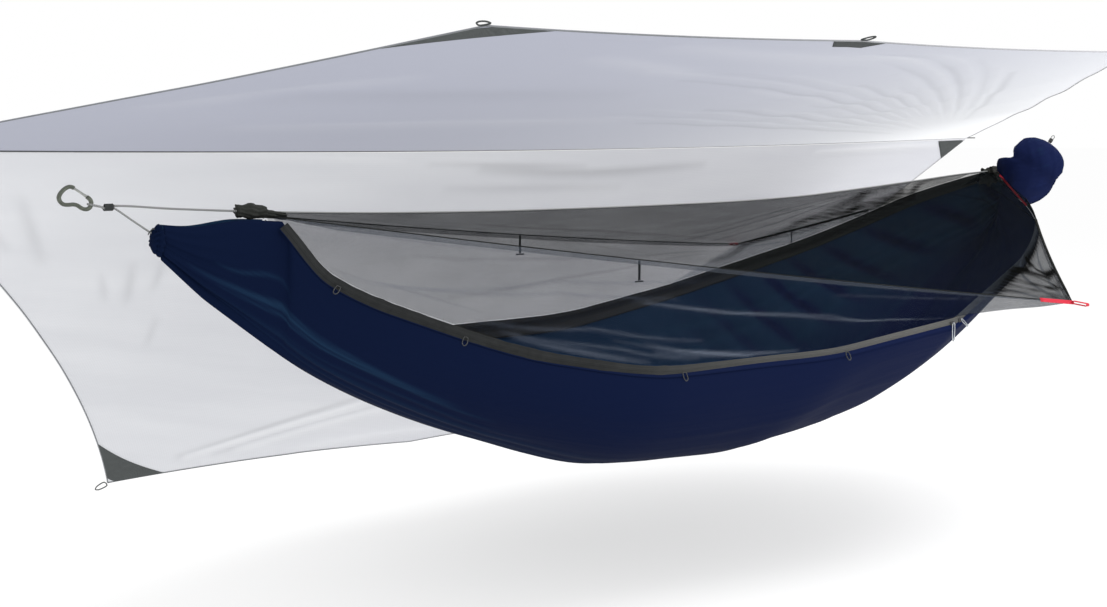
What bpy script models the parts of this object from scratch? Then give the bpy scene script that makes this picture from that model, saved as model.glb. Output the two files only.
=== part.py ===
"""A hammock tent: a bed with a zipped bug net, slung under a rain fly.

Lengths are in metres. X runs from the left hang point to the right one, -Y is
the near side and +Z is up. The origin is where a tree strap bears on the left
carabiner. Inside the hammock, a place is given as (along, side, height), with
along and side counted from the middle of the hammock and height from the level
of the two knots.
"""

import math

import bmesh
import bpy
from mathutils import Matrix, Vector

# Shared fits and cloth thicknesses
CLEARANCE = 0.0003
SEAM_INSET = 0.0006
BED_THICKNESS = 0.0012
NET_THICKNESS = 0.0008
FLY_THICKNESS = 0.001
PATCH_THICKNESS = 0.0012
MERGE_DISTANCE = 0.00001
SHARP_ANGLE = math.radians(30)

# Bed of the hammock
BED_LENGTH = 2.69
RIM_WIDTH = 1.04
KEEL_DEPTH = 0.68
PLEAT_DEPTH = 0.009
PLEAT_REACH = 0.21
PLEAT_LEAST_SHARE = 0.15
PLEAT_FULL_SHARE = 0.2
BED_END_STATIONS = 3
BED_ACROSS = 16
BED_PLEATS = 5

# Each row: along, side and drop of one rim, left to right
RIM_SHARES = (
    (-0.803, 0.096, 0.066),
    (-0.743, 0.192, 0.231),
    (-0.632, 0.394, 0.351),
    (-0.446, 0.673, 0.481),
    (-0.260, 0.850, 0.533),
    (-0.074, 0.871, 0.532),
    (0.104, 0.938, 0.515),
    (0.3346, 0.994, 0.457),
    (0.3435, 0.994, 0.453),
    (0.595, 0.802, 0.312),
    (0.777, 0.575, 0.168),
    (0.833, 0.404, 0.092),
    (0.885, 0.163, 0.019),
    (0.907, 0.080, -0.004),
)
RIM_SPANS = (2, 2, 3, 3, 3, 3, 3, 1, 4, 3, 1, 1, 1)
STRAIGHT_RUNS = (6, 8)  # straight from each of these rows to the next, for the zip sliders
NET_LEFT_STATION = 1
TIP_STATION = 20
MEET_STATION = 27
RIGHT_STATION = 29

# The bed's own edge beyond the rims, at each end
LEFT_EDGE_SHARES = ((-0.985, 0.030, 0.052), (-0.940, 0.038, 0.060), (-0.862, 0.050, 0.046))
RIGHT_EDGE_SHARES = ((0.945, 0.050, 0.008), (0.985, 0.030, 0.014))

# Each row: along and drop of the keel
KEEL_SHARES = (
    (-0.985, 0.145),
    (-0.892, 0.306),
    (-0.743, 0.531),
    (-0.595, 0.684),
    (-0.446, 0.800),
    (-0.223, 0.933),
    (0.000, 0.968),
    (0.112, 0.982),
    (0.297, 0.959),
    (0.446, 0.900),
    (0.595, 0.668),
    (0.743, 0.481),
    (0.892, 0.270),
    (0.985, 0.100),
)

# Each row: along and how straight the bed's walls run, from a round section to a V
FLATNESS_SHARES = (
    (-0.985, 0.00),
    (-0.600, 0.00),
    (-0.300, 0.05),
    (0.000, 0.21),
    (0.200, 0.60),
    (0.400, 0.69),
    (0.600, 0.65),
    (0.800, 0.70),
    (0.985, 0.40),
)

# Gathered ends
GATHER_LENGTH = 0.019
GATHER_HEIGHT = 0.052
GATHER_WIDTH = 0.036
GATHER_PLEAT = 0.0016
GATHER_CORD_SHARE = 0.28
GATHER_PLEATS = 7
GATHER_SIDES = 28
GATHER_SHARES = ((0.0, 0.86), (0.25, 1.0), (0.7, 0.94), (1.0, 0.62))  # along and size

# Ridgeline and suspension
CORD_RADIUS = 0.002
CORD_SEAT = 0.0015
RIDGELINE_DROP = 0.0374

# Each row: along, from knot to knot, and height of the ridgeline
RIDGELINE_SHARES = (
    (-0.99860, 0.13904),
    (-0.99161, 0.13369),
    (-0.90909, -0.12032),
    (-0.81119, -0.36364),
    (-0.72727, -0.54813),
    (-0.53846, -0.81551),
    (-0.31469, -0.96791),
    (-0.10490, -1.00000),
    (0.10490, -0.96791),
    (0.29371, -0.80214),
    (0.45455, -0.44118),
    (0.62937, 0.04011),
    (0.76923, 0.44118),
    (0.87413, 0.62834),
    (0.99161, 0.74866),
    (0.99860, 0.75401),
)
SUSPENSION_RUN = 0.085
KNOT_ALONG = BED_LENGTH / 2 + SUSPENSION_RUN
KNOT_HALF_LENGTH = 0.0095
KNOT_RADIUS = 0.0064
KNOT_BAND = 0.0006
KNOT_BORE = 0.0053
KNOT_BANDS = 3
KNOT_BAND_SHARES = (0.3, 0.7)
KNOT_SIDES = 14
STRAND_CIRCLE = 0.0029
STRAND_OUT_TURN = math.radians(-150)
STRAND_BACK_TURN = math.radians(-30)
LEFT_KNOT_HEIGHT = 0.0025
RIGHT_KNOT_HEIGHT = 0.0255
EYE_LENGTH = 0.0313
EYE_HALF_WIDTH = 0.0085
EYE_RISE = 0.24

# Each row: reach and side of the eye, from the whipping out and back
EYE_SHARES = (
    (0.30, -0.85),
    (0.60, -1.0),
    (0.90, -0.66),
    (1.00, 0.0),
    (0.90, 0.66),
    (0.60, 1.0),
    (0.30, 0.85),
)

# Carabiners: centre line of the body as shares of the length, from nose to gate hinge
CARABINER_LENGTH = 0.080
CARABINER_RADIUS = 0.0036
GATE_RADIUS = 0.0024
GATE_BARREL_RADIUS = 0.0030
GATE_SHARES = ((-0.92, 0.42), (-0.6, 0.82), (0.0, 1.0), (0.6, 0.95))  # along and size of the barrel
GATE_NECK_SHARE = 1.1
SMALL_END_REACH = 0.0315
CARABINER_SHARES = (
    (-0.450, 0.302),
    (-0.505, 0.332),
    (-0.590, 0.330),
    (-0.690, 0.275),
    (-0.775, 0.190),
    (-0.819, 0.095),
    (-0.800, 0.000),
    (-0.720, -0.075),
    (-0.600, -0.092),
    (-0.480, -0.086),
    (-0.380, -0.112),
    (-0.270, -0.185),
    (-0.160, -0.212),
    (-0.070, -0.170),
    (-0.031, -0.070),
    (-0.060, 0.020),
    (-0.135, 0.085),
)
GATE_HINGE_SHARES = (-0.1682, 0.1106)
GATE_TIP_SHARES = (-0.4417, 0.2964)
HANG_SHARES = (-0.773, 0.095)
LEFT_SMALL_END = (-KNOT_ALONG - SMALL_END_REACH, 0.0170)
RIGHT_SMALL_END = (KNOT_ALONG + SMALL_END_REACH, 0.0400)

# Zip tapes round the mouth
TAPE_WIDTH = 0.024
TAPE_THICKNESS = 0.0014
TAPE_LEAN = math.radians(20)

# Zip sliders
SLIDER_LENGTH = 0.013
SLIDER_HEIGHT = 0.010
SLIDER_DEPTH = 0.004
SLIDER_DEPTH_SHARES = ((0.0, 1.0), (0.5, 1.0), (1.0, 0.72))  # depth and size
SLIDER_SHARES = (
    (-1.0, -1.0),
    (-0.55, -1.0),
    (0.55, -1.0),
    (1.0, -0.6),
    (1.0, 0.6),
    (0.55, 1.0),
    (-0.55, 1.0),
    (-1.0, 1.0),
)
LEFT_SLIDER_ALONG = 0.4425
RIGHT_SLIDER_ALONG = 0.4705
PULL_CORD_RADIUS = 0.0010
PULL_DROP = 0.042
PULL_HALF_WIDTH = 0.0035
RIGHT_PULL_REACH = 0.80

# Each row: across, down and thickness of the pull's cord loop, thickest where it is moulded
PULL_SHARES = (
    (0.45, 0.00, 1.0),
    (0.90, 0.08, 1.0),
    (1.00, 0.30, 1.0),
    (0.90, 0.70, 1.0),
    (0.75, 0.84, 1.2),
    (0.55, 0.95, 1.7),
    (0.00, 1.02, 1.9),
    (-0.55, 0.95, 1.7),
    (-0.75, 0.84, 1.2),
    (-0.90, 0.70, 1.0),
    (-1.00, 0.30, 1.0),
    (-0.90, 0.08, 1.0),
    (-0.45, 0.00, 1.0),
)

# Bug net
NET_LEFT_SHARE = -0.80892
NET_LEFT_ALONG = BED_LENGTH / 2 * NET_LEFT_SHARE
NET_LEFT_SIDE = 0.0105
NET_LEFT_HEIGHT = -0.0265
NET_FOLD_SHARE = 0.004
NET_GAP = 0.0012
NET_LEFT_CELLS = 19
NET_ACROSS_CELLS = 6
SEAM_SAG = 0.009
SEAM_STEP = 0.0018
SEAM_LIFT = 0.007

# Each row: along the net and how far its upper part bows up
NET_BOW = 0.024
NET_BOW_SHARES = ((0.0, 0.0), (0.25, -0.583), (0.6, -0.417), (0.74, 0.417), (0.92, 1.0), (1.0, 0.167))
NEAR_TIP = (0.780, -0.608, -0.2745)
FAR_TIP = (0.7185, 0.525, -0.1975)

# Sleeves that gather the net's ends round the ridgeline
SLEEVE_RADIUS = 0.0125
SLEEVE_BORE = 0.0029
SLEEVE_SIDES = 20
SLEEVE_SHARES = ((1.0, 0.70), (0.85, 0.95), (0.55, 0.86), (0.25, 1.0), (0.0, 0.72))  # along and size
LEFT_SLEEVE_SHARES = (-0.86245, -0.81487)
RIGHT_SLEEVE_SHARES = (0.89591, 0.94796)

# Pull-out webbing loops
NEAR_TAB_LENGTH = 0.046
FAR_TAB_LENGTH = 0.026
TAB_WIDTH = 0.012
TAB_HEIGHT = 0.0082
TAB_WEB = 0.0015
TAB_GAP = 0.0001
TAB_FALL_SHARE = 0.08
SLOT_STEPS = 6

# Hanging toggles: (name, side, strap length, which way from the seam, drop)
TOGGLES = (
    ("near_toggle", -1, 0.045, -1, 0.0013),
    ("far_left_toggle", 1, 0.045, -1, 0.0013),
    ("far_right_toggle", 1, 0.036, 1, 0.0024),
)
TOGGLE_ALONG_SHARES = (-0.2305, -0.2082, 0.6320)
STRAP_WIDTH = 0.006
STRAP_THICKNESS = 0.0012
TOGGLE_BAR_LENGTH = 0.024
TOGGLE_BAR_RADIUS = 0.0021
TOGGLE_BAR_SHARES = ((-1.0, 0.6), (-0.85, 1.0), (-0.2, 0.8), (0.2, 0.8), (0.85, 1.0), (1.0, 0.6))

# Loops on the rims: (name, side), and how far along the bed each lies
RIM_LOOPS = (
    ("near_rim_loop_1", -1),
    ("near_rim_loop_2", -1),
    ("near_rim_loop_3", -1),
    ("near_rim_loop_4", -1),
    ("far_rim_loop", 1),
)
RIM_LOOP_SHARES = (-0.7323, -0.5725, -0.2528, 0.0855, 0.4164)
LOOP_CORD_RADIUS = 0.0011
LOOP_HALF_WIDTH = 0.0050
LOOP_LENGTH = 0.0190
LOOP_OVERLAP = 0.0070
LOOP_GAP = 0.0008
LOOP_LEAN_SHARE = 0.14

# Each row: across and down of a rim loop
LOOP_SHARES = ((-0.7, 0), (0.7, 0), (1.0, 0.35), (0.9, 0.8), (0.0, 1.0), (-0.9, 0.8), (-1.0, 0.35))

# Stuff sack
SACK_ALONG_SHARE = 0.86959
SACK_BASE = (BED_LENGTH / 2 * SACK_ALONG_SHARE, -0.1388, -0.0244)
SACK_LENGTH = 0.162
SACK_WIDTH = 0.150
SACK_THICKNESS = 0.085
SACK_WAY = (0.60, -0.15, 0.79)
SACK_BASE_SIDE = (-0.474, -0.806, -0.355)
SACK_TOP_SIDE = (0.54, -0.65, -0.535)
SACK_TURN_SHARE = 0.45

# Each row: share of the length, width and thickness
SACK_SHARES = (
    (0.000, 1.36, 0.30),
    (0.060, 1.30, 0.42),
    (0.240, 1.08, 0.75),
    (0.450, 0.97, 0.95),
    (0.640, 0.97, 1.00),
    (0.800, 0.90, 0.92),
    (0.910, 0.68, 0.70),
    (0.975, 0.36, 0.38),
    (1.000, 0.12, 0.12),
)
SACK_SIDES = 20
SACK_PUCKER = 0.0022
SACK_PUCKERS = 5
TRIM_HEIGHT = 0.006
TRIM_THICKNESS = 0.0014
TRIM_BOW = 0.006
TRIM_CELLS = 12
DRAWCORD_RADIUS = 0.0011
DRAWCORD_HALF_WIDTH = 0.0036
DRAWCORD_LENGTH = 0.027
LOCK_RADIUS = 0.0058
LOCK_LENGTH = 0.011
LOCK_BORE = 0.0015
LOCK_EDGE = 0.0010
LOCK_SEAT_SHARE = 0.14
LOCK_SIDES = 16
LOCK_BORE_SIDES = 12

# Each row: across and along of the drawcord's loop
DRAWCORD_SHARES = (
    (-0.6, 0.0),
    (0.6, 0.0),
    (1.0, 0.08),
    (1.0, 0.5),
    (1.0, 0.85),
    (0.0, 1.0),
    (-1.0, 0.85),
    (-1.0, 0.5),
    (-1.0, 0.08),
)

# Rain fly
FLY_RIDGE_LENGTH = 3.32
FLY_OUTER_LENGTH = 1.84
FLY_PANEL_WIDTH = 1.106
FLY_RIDGE_PLACE = (-0.1387, 0.3333, 0.1129)
NEAR_PITCH = math.radians(11.3)
FAR_PITCH = math.radians(52.9)
FLY_SAG = 0.012
FLY_FOLD = 0.007
FLY_FOLD_PITCH = 0.300

# For the near (-1) and the far (1) panel: how the folds lean, and where along they are deepest
FLY_FOLD_LEAN_SHARES = {-1: -0.6, 1: 0.8}
FLY_FOLD_PLACE_SHARES = {-1: 0.45, 1: -0.45}
FLY_FOLD_REACH_SHARE = 0.4
NEAR_LEFT_SAG = -0.014
NEAR_RIGHT_SAG = -0.010
FAR_LEFT_SAG = 0.090
FAR_RIGHT_SAG = 0.045
OUTER_SAG = 0.018
SIDE_SAGS = {
    (-1, -1): NEAR_LEFT_SAG,
    (-1, 1): NEAR_RIGHT_SAG,
    (1, -1): FAR_LEFT_SAG,
    (1, 1): FAR_RIGHT_SAG,
}
RIDGE_TAPE_RADIUS = 0.0035
RIDGE_TAPE_GAP = 0.0006
FLY_CELLS_ALONG = 32
FLY_CELLS_OUT = 10
PATCH_SIDE = 0.160
PATCH_OUTER = 0.150
RIDGE_PATCH_SIDE = 0.075
RIDGE_PATCH_LENGTH = 0.130
MIDDLE_PATCH_HALF = 0.075
MIDDLE_PATCH_DEPTH = 0.040
MIDDLE_PATCH_TAPER_SHARE = 0.45
PATCH_TIP_SHARE = 0.12
PATCH_EDGE = 0.003
PATCH_GAP = 0.0008
PATCH_CELLS = 4
TIE_RADIUS = 0.0016
TIE_LENGTH = 0.030
TIE_HALF_WIDTH = 0.0105
TIE_GAP = 0.0016
CORNER_TIE_SHARES = (0.8, 0.6)  # along and out of a corner loop's way

# Each row: out and across of a tie-out loop
TIE_SHARES = ((0.0, -0.8), (0.0, 0.8), (0.35, 1.0), (0.8, 0.72), (1.0, 0.0), (0.8, -0.72), (0.35, -1.0))

# Colours, in linear light
NAVY = (0.008, 0.014, 0.045)
NET_GREY = (0.045, 0.045, 0.040)
TAPE_GREY = (0.11, 0.11, 0.10)
FLY_GREY = (0.60, 0.62, 0.68)
PATCH_GREY = (0.10, 0.11, 0.11)
CORD_GREY = (0.16, 0.17, 0.17)
METAL_GREY = (0.25, 0.26, 0.24)
CORAL = (0.70, 0.06, 0.09)
BLACK = (0.02, 0.02, 0.02)
PULL_GREY = (0.42, 0.44, 0.46)


def clear_scene():
    for obj in list(bpy.data.objects):
        bpy.data.objects.remove(obj, do_unlink=True)


def new_collection(name):
    collection = bpy.data.collections.new(name)
    bpy.context.scene.collection.children.link(collection)
    return collection


def material(name, colour, roughness, metallic=0.0):
    made = bpy.data.materials.new(name)
    made.use_nodes = True
    shader = made.node_tree.nodes["Principled BSDF"]
    shader.inputs["Base Color"].default_value = (*colour, 1.0)
    shader.inputs["Roughness"].default_value = roughness
    shader.inputs["Metallic"].default_value = metallic
    return made


clear_scene()
PARTS = new_collection("hammock_tent")
CUTTERS = new_collection("cutters")

NAVY_NYLON = material("navy_nylon", NAVY, 0.55)
NETTING = material("netting", NET_GREY, 0.8)
ZIP_TAPE = material("zip_tape", TAPE_GREY, 0.75)
FLY_CLOTH = material("fly_cloth", FLY_GREY, 0.45)
PATCH_CLOTH = material("patch_cloth", PATCH_GREY, 0.6)
CORD = material("cord", CORD_GREY, 0.8)
METAL = material("metal", METAL_GREY, 0.35, 0.9)
CORAL_WEBBING = material("coral_webbing", CORAL, 0.7)
BLACK_PLASTIC = material("black_plastic", BLACK, 0.5)
PULL_CORD = material("pull_cord", PULL_GREY, 0.7)


# Placing and curves


def place(along, side, height):
    """A place in the hammock, moved to the frame whose origin is the left hang point."""
    hang = carabiner_point(LEFT_SMALL_END, 1, HANG_SHARES)
    return Vector((along - hang[0], side, height - hang[1]))


def carabiner_point(small_end, facing, shares):
    """(along, height) of a carabiner's point. facing is 1 where it points left, -1 where right."""
    along = small_end[0] + facing * shares[0] * CARABINER_LENGTH
    return along, small_end[1] + shares[1] * CARABINER_LENGTH


def steady_curve(rows, straight=()):
    """Returns f(x), the smooth curve through rows (x, y, ...) that never overshoots them."""
    xs = [row[0] for row in rows]
    columns = list(zip(*[row[1:] for row in rows]))
    slopes = []
    for column in columns:
        steps = [
            (column[i + 1] - column[i]) / (xs[i + 1] - xs[i]) for i in range(len(xs) - 1)
        ]
        tangents = [steps[0]]
        for before, after in zip(steps, steps[1:]):
            if before * after <= 0:
                tangents.append(0.0)
            else:
                tangents.append(2 * before * after / (before + after))
        tangents.append(steps[-1])
        for run in straight:
            tangents[run] = tangents[run + 1] = steps[run]
        slopes.append(tangents)

    def value(x):
        i = max(0, min(len(xs) - 2, sum(1 for known in xs[1:-1] if known <= x)))
        width = xs[i + 1] - xs[i]
        t = min(1.0, max(0.0, (x - xs[i]) / width))
        found = []
        for column, tangents in zip(columns, slopes):
            found.append(
                (2 * t**3 - 3 * t**2 + 1) * column[i]
                + (t**3 - 2 * t**2 + t) * width * tangents[i]
                + (3 * t**2 - 2 * t**3) * column[i + 1]
                + (t**3 - t**2) * width * tangents[i + 1]
            )
        return found

    return value


def rounded(points, steps, cyclic=False):
    """Points along a smooth curve through the given ones."""
    count = len(points)
    spans = count if cyclic else count - 1
    found = []
    for i in range(spans):
        if cyclic:
            around = [points[(i + k) % count] for k in (-1, 0, 1, 2)]
        else:
            around = [points[max(0, min(count - 1, i + k))] for k in (-1, 0, 1, 2)]
        a, b, c, d = around
        for k in range(steps):
            t = k / steps
            found.append(
                0.5
                * (
                    2 * b
                    + (c - a) * t
                    + (2 * a - 5 * b + 4 * c - d) * t**2
                    + (3 * b - a - 3 * c + d) * t**3
                )
            )
    if not cyclic:
        found.append(points[-1].copy())
    return found


def scaled_rows(rows):
    half = BED_LENGTH / 2
    wide = RIM_WIDTH / 2
    return [(a * half, s * wide, -d * KEEL_DEPTH) for a, s, d in rows]


def spread_stations(rows, spans):
    """Places along the rim that the tape, the bed and the nets all share."""
    found = [rows[0][0]]
    for (start, *_), (end, *_), count in zip(rows, rows[1:], spans):
        found.extend(start + (end - start) * (i + 1) / count for i in range(count))
    return found


RIM = steady_curve(scaled_rows(RIM_SHARES), STRAIGHT_RUNS)
STATIONS = spread_stations(scaled_rows(RIM_SHARES), RIM_SPANS)
BED_EDGE_LEFT = scaled_rows(LEFT_EDGE_SHARES)
BED_EDGE_RIGHT = scaled_rows(RIGHT_EDGE_SHARES)
KEEL = steady_curve([(a * BED_LENGTH / 2, -d * KEEL_DEPTH) for a, d in KEEL_SHARES])
FLATNESS = steady_curve([(a * BED_LENGTH / 2, k) for a, k in FLATNESS_SHARES])
RIDGELINE_ROUTE = [(a * KNOT_ALONG, h * RIDGELINE_DROP) for a, h in RIDGELINE_SHARES]
RIDGE = steady_curve(RIDGELINE_ROUTE)
RIM_LEFT = STATIONS[0]
RIM_RIGHT = STATIONS[-1]
NET_MEET_ALONG = STATIONS[MEET_STATION]


def rim_point(side, along):
    wide, height = RIM(along)
    return Vector((along, side * wide, height))


def rim_frame(side, along):
    """Tangent, the tape's upward width direction and its outward normal at a rim point."""
    step = TAPE_THICKNESS
    tangent = (rim_point(side, along + step) - rim_point(side, along - step)).normalized()
    up = Vector((0, -side * math.sin(TAPE_LEAN), math.cos(TAPE_LEAN)))
    up = (up - up.dot(tangent) * tangent).normalized()
    outward = tangent.cross(up)
    if outward.y * side < 0:
        outward = -outward
    return tangent, up, outward


def rim_offset(side, along, up_by, out_by=0.0):
    tangent, up, outward = rim_frame(side, along)
    return rim_point(side, along) + up * up_by + outward * out_by


def on_tape(side, along, up_by, out_by=0.0):
    """A point on the made tape, which runs straight from station to station."""
    last = len(STATIONS) - 1
    i = max(1, min(last, sum(1 for known in STATIONS[:last] if known <= along)))
    first = rim_offset(side, STATIONS[i - 1], up_by, out_by)
    second = rim_offset(side, STATIONS[i], up_by, out_by)
    share = (along - STATIONS[i - 1]) / (STATIONS[i] - STATIONS[i - 1])
    return first.lerp(second, share)


def tape_directions(side, along):
    """Along the made tape, up across its width, and out from its outer face."""
    step = TAPE_THICKNESS
    before = on_tape(side, along - step, 0.0)
    after = on_tape(side, along + step, 0.0)
    tangent = (after - before).normalized()
    up = (on_tape(side, along, step) - on_tape(side, along, 0.0)).normalized()
    outward = tangent.cross(up).normalized()
    if outward.y * side < 0:
        outward = -outward
    return tangent, up, outward


# Making objects


def adopt(obj, mat, parent=None):
    """Links an object whose points are in world places, and gives it its material and parent."""
    PARTS.objects.link(obj)
    if obj.data.materials:
        obj.data.materials[0] = mat
    else:
        obj.data.materials.append(mat)
    if parent is not None:
        obj.parent = parent
    return obj


def empty(name, location, pitch=0.0):
    made = bpy.data.objects.new(name, None)
    made.location = location
    made.rotation_euler = (pitch, 0.0, 0.0)
    PARTS.objects.link(made)
    return made


def mesh_from(name, points, faces, smooth=True):
    mesh = bpy.data.meshes.new(name)
    mesh.from_pydata([tuple(point) for point in points], [], faces)
    mesh.validate()
    if smooth:
        mesh.shade_smooth()
    return mesh


def cloth(name, rows, thickness, mat, origin=None, parent=None):
    """A sheet through a grid of points, given its thickness by Solidify."""
    origin = origin or Vector((0.0, 0.0, 0.0))
    across = len(rows[0])
    points = [point - origin for row in rows for point in row]
    faces = []
    for i in range(len(rows) - 1):
        for j in range(across - 1):
            k = i * across + j
            faces.append((k, k + 1, k + across + 1, k + across))
    obj = bpy.data.objects.new(name, mesh_from(name, points, faces))
    obj.location = origin
    shell = obj.modifiers.new("thickness", "SOLIDIFY")
    shell.thickness = thickness
    shell.offset = 0.0
    return adopt(obj, mat, parent)


def tube(name, points, radius, mat, cyclic=False, resolution=2, radii=None, origin=None):
    """A round cord or rod along a list of points."""
    origin = origin or Vector((0.0, 0.0, 0.0))
    curve = bpy.data.curves.new(name, "CURVE")
    curve.dimensions = "3D"
    curve.bevel_depth = radius
    curve.bevel_resolution = resolution
    curve.use_fill_caps = not cyclic
    spline = curve.splines.new("POLY")
    spline.points.add(len(points) - 1)
    for i, point in enumerate(points):
        spline.points[i].co = (*(point - origin), 1.0)
        if radii:
            spline.points[i].radius = radii[i]
    spline.use_cyclic_u = cyclic
    spline.use_smooth = True
    obj = bpy.data.objects.new(name, curve)
    obj.location = origin
    return adopt(obj, mat)


def loft(name, rings, mat, origin=None):
    """A closed solid through rings of points, first to last, with flat ends."""
    origin = origin or Vector((0.0, 0.0, 0.0))
    sides = len(rings[0])
    points = [point - origin for ring in rings for point in ring]
    faces = []
    for i in range(len(rings) - 1):
        for j in range(sides):
            k = i * sides + j
            n = i * sides + (j + 1) % sides
            faces.append((k, n, n + sides, k + sides))
    last = (len(rings) - 1) * sides
    faces.append(tuple(range(sides))[::-1])
    faces.append(tuple(last + j for j in range(sides)))
    mesh = mesh_from(name, points, faces)
    shape = bmesh.new()
    shape.from_mesh(mesh)
    bmesh.ops.recalc_face_normals(shape, faces=shape.faces)
    shape.to_mesh(mesh)
    shape.free()
    obj = bpy.data.objects.new(name, mesh)
    obj.location = origin
    return adopt(obj, mat)


def turned(name, profile, steps, mat, location, direction):
    """A profile of (radius, height) pairs, outer side top to bottom, turned about an axis."""
    mesh = bpy.data.meshes.new(name)
    points = [(radius, 0.0, height) for radius, height in profile]
    count = len(points)
    edges = [(i, (i + 1) % count) for i in range(count)]
    mesh.from_pydata(points, edges, [])
    obj = bpy.data.objects.new(name, mesh)
    screw = obj.modifiers.new("turn", "SCREW")
    screw.steps = steps
    screw.render_steps = steps
    screw.use_merge_vertices = True
    screw.merge_threshold = MERGE_DISTANCE
    screw.use_smooth_shade = True
    obj.location = location
    obj.rotation_euler = direction.to_track_quat("Z", "Y").to_euler()
    return adopt(obj, mat)


def flat_shape(name, outlines, thickness, mat, location, basis, parent=None):
    """A flat outline with its holes, extruded, placed by a basis of three directions."""
    curve = bpy.data.curves.new(name, "CURVE")
    curve.dimensions = "2D"
    curve.fill_mode = "BOTH"
    curve.extrude = thickness / 2
    for outline in outlines:
        spline = curve.splines.new("POLY")
        spline.points.add(len(outline) - 1)
        for i, (x, y) in enumerate(outline):
            spline.points[i].co = (x, y, 0.0, 1.0)
        spline.use_cyclic_u = True
    obj = bpy.data.objects.new(name, curve)
    obj.location = location
    obj.rotation_euler = Matrix(basis).transposed().to_euler()
    return adopt(obj, mat, parent)


# The bed


def bed_edge(side, along):
    """The bed's top edge: under the tape along the rim, and the closed hem beyond it."""
    drop = TAPE_WIDTH / 2 + SEAM_INSET
    if RIM_LEFT <= along <= RIM_RIGHT:
        return rim_offset(side, along, -drop)
    if along < RIM_LEFT:
        joint = rim_offset(side, RIM_LEFT, -drop)
        rows = [*BED_EDGE_LEFT, (joint.x, abs(joint.y), joint.z)]
    else:
        joint = rim_offset(side, RIM_RIGHT, -drop)
        rows = [(joint.x, abs(joint.y), joint.z), *BED_EDGE_RIGHT]
    wide, height = steady_curve(rows)(along)
    return Vector((along, side * wide, height))


def bed_point(along, across):
    """A point of the bed. across runs from -1, the near rim, through 0, the keel, to 1."""
    side = -1 if across < 0 else 1
    edge = bed_edge(side, along)
    keel = KEEL(along)[0]
    turn = abs(across) * math.pi / 2
    flat = FLATNESS(along)[0]
    wide = abs(edge.y) * (math.sin(turn) + (abs(across) - math.sin(turn)) * flat)
    deep = edge.z - (edge.z - keel) * (math.cos(turn) + (1 - abs(across) - math.cos(turn)) * flat)
    ends = BED_LENGTH / 2 * abs(LEFT_EDGE_SHARES[0][0]) - abs(along)
    fade = math.exp(-((ends / PLEAT_REACH) ** 2)) + PLEAT_LEAST_SHARE
    wave = math.cos(across * math.pi * BED_PLEATS) * math.cos(across * math.pi / 2) ** 2
    room = min(1.0, abs(edge.z - keel) / (KEEL_DEPTH * PLEAT_FULL_SHARE))
    push = PLEAT_DEPTH * fade * wave * room
    out = Vector((0.0, side * math.sin(turn), -math.cos(turn)))
    shift = (edge.x - along) * abs(across)
    return Vector((along + shift, side * wide, deep)) + out * push


def bed_stations():
    """The rim's stations, with a few more out to each gathered end."""
    half = BED_LENGTH / 2 * RIGHT_EDGE_SHARES[-1][0]
    count = BED_END_STATIONS
    left = [-half + (RIM_LEFT + half) * i / count for i in range(count)]
    right = [half - (half - RIM_RIGHT) * i / count for i in range(count)]
    return left + STATIONS + right[::-1]


def make_bed():
    rows = []
    for along in bed_stations():
        row = []
        for j in range(BED_ACROSS + 1):
            across = 2 * j / BED_ACROSS - 1
            row.append(place(*bed_point(along, across)))
        rows.append(row)
    cloth("hammock_bed", rows, BED_THICKNESS, NAVY_NYLON)


def make_gather(name, facing):
    """The crumpled hem channel that the suspension cord draws together."""
    end = facing * BED_LENGTH / 2 * RIGHT_EDGE_SHARES[-1][0]
    top = bed_edge(1, end).z
    low = KEEL(end)[0]
    middle = (top + low) / 2
    start = end + facing * (BED_THICKNESS / 2 + CLEARANCE)
    rings = []
    for step, size in GATHER_SHARES:
        ring = []
        for j in range(GATHER_SIDES):
            turn = 2 * math.pi * j / GATHER_SIDES
            pleat = GATHER_PLEAT * math.cos(GATHER_PLEATS * turn)
            side = (GATHER_WIDTH / 2 * size + pleat) * math.cos(turn)
            rise = (GATHER_HEIGHT / 2 * size + pleat) * math.sin(turn)
            along = start + facing * step * GATHER_LENGTH
            ring.append(place(along, side, middle + rise))
        rings.append(ring)
    loft(name, rings, NAVY_NYLON)
    return start + facing * GATHER_LENGTH, middle


# Ridgeline, suspension and carabiners


def make_ridgeline():
    points = [Vector((along, 0.0, height)) for along, height in RIDGELINE_ROUTE]
    smooth = [place(*point) for point in rounded(points, 2)]
    tube("ridgeline", smooth, CORD_RADIUS, CORD, resolution=1)


def strand(facing, height, turn, reach=0.0):
    """A point on one of the three strands inside a whipping, reach out from its middle."""
    side = STRAND_CIRCLE * math.cos(turn)
    rise = STRAND_CIRCLE * math.sin(turn)
    return Vector((facing * (KNOT_ALONG + reach), side, height + rise))


def make_knot(name, facing, height):
    """The whipping that binds the cord to itself, a turned tube with bands."""
    bands = KNOT_BANDS
    half = KNOT_HALF_LENGTH
    low = KNOT_RADIUS - KNOT_BAND
    profile = []
    for i in range(bands):
        top = half - 2 * half * i / bands
        step = 2 * half / bands
        profile.append((low, top - KNOT_BAND / 4))
        profile.append((KNOT_RADIUS, top - step * KNOT_BAND_SHARES[0]))
        profile.append((KNOT_RADIUS, top - step * KNOT_BAND_SHARES[1]))
        profile.append((low, top - step + KNOT_BAND / 4))
    profile.append((KNOT_BORE, -half))
    profile.append((KNOT_BORE, half))
    axis = Vector((1.0, 0.0, 0.0))
    turned(name, profile, KNOT_SIDES, CORD, place(facing * KNOT_ALONG, 0.0, height), axis)


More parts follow.
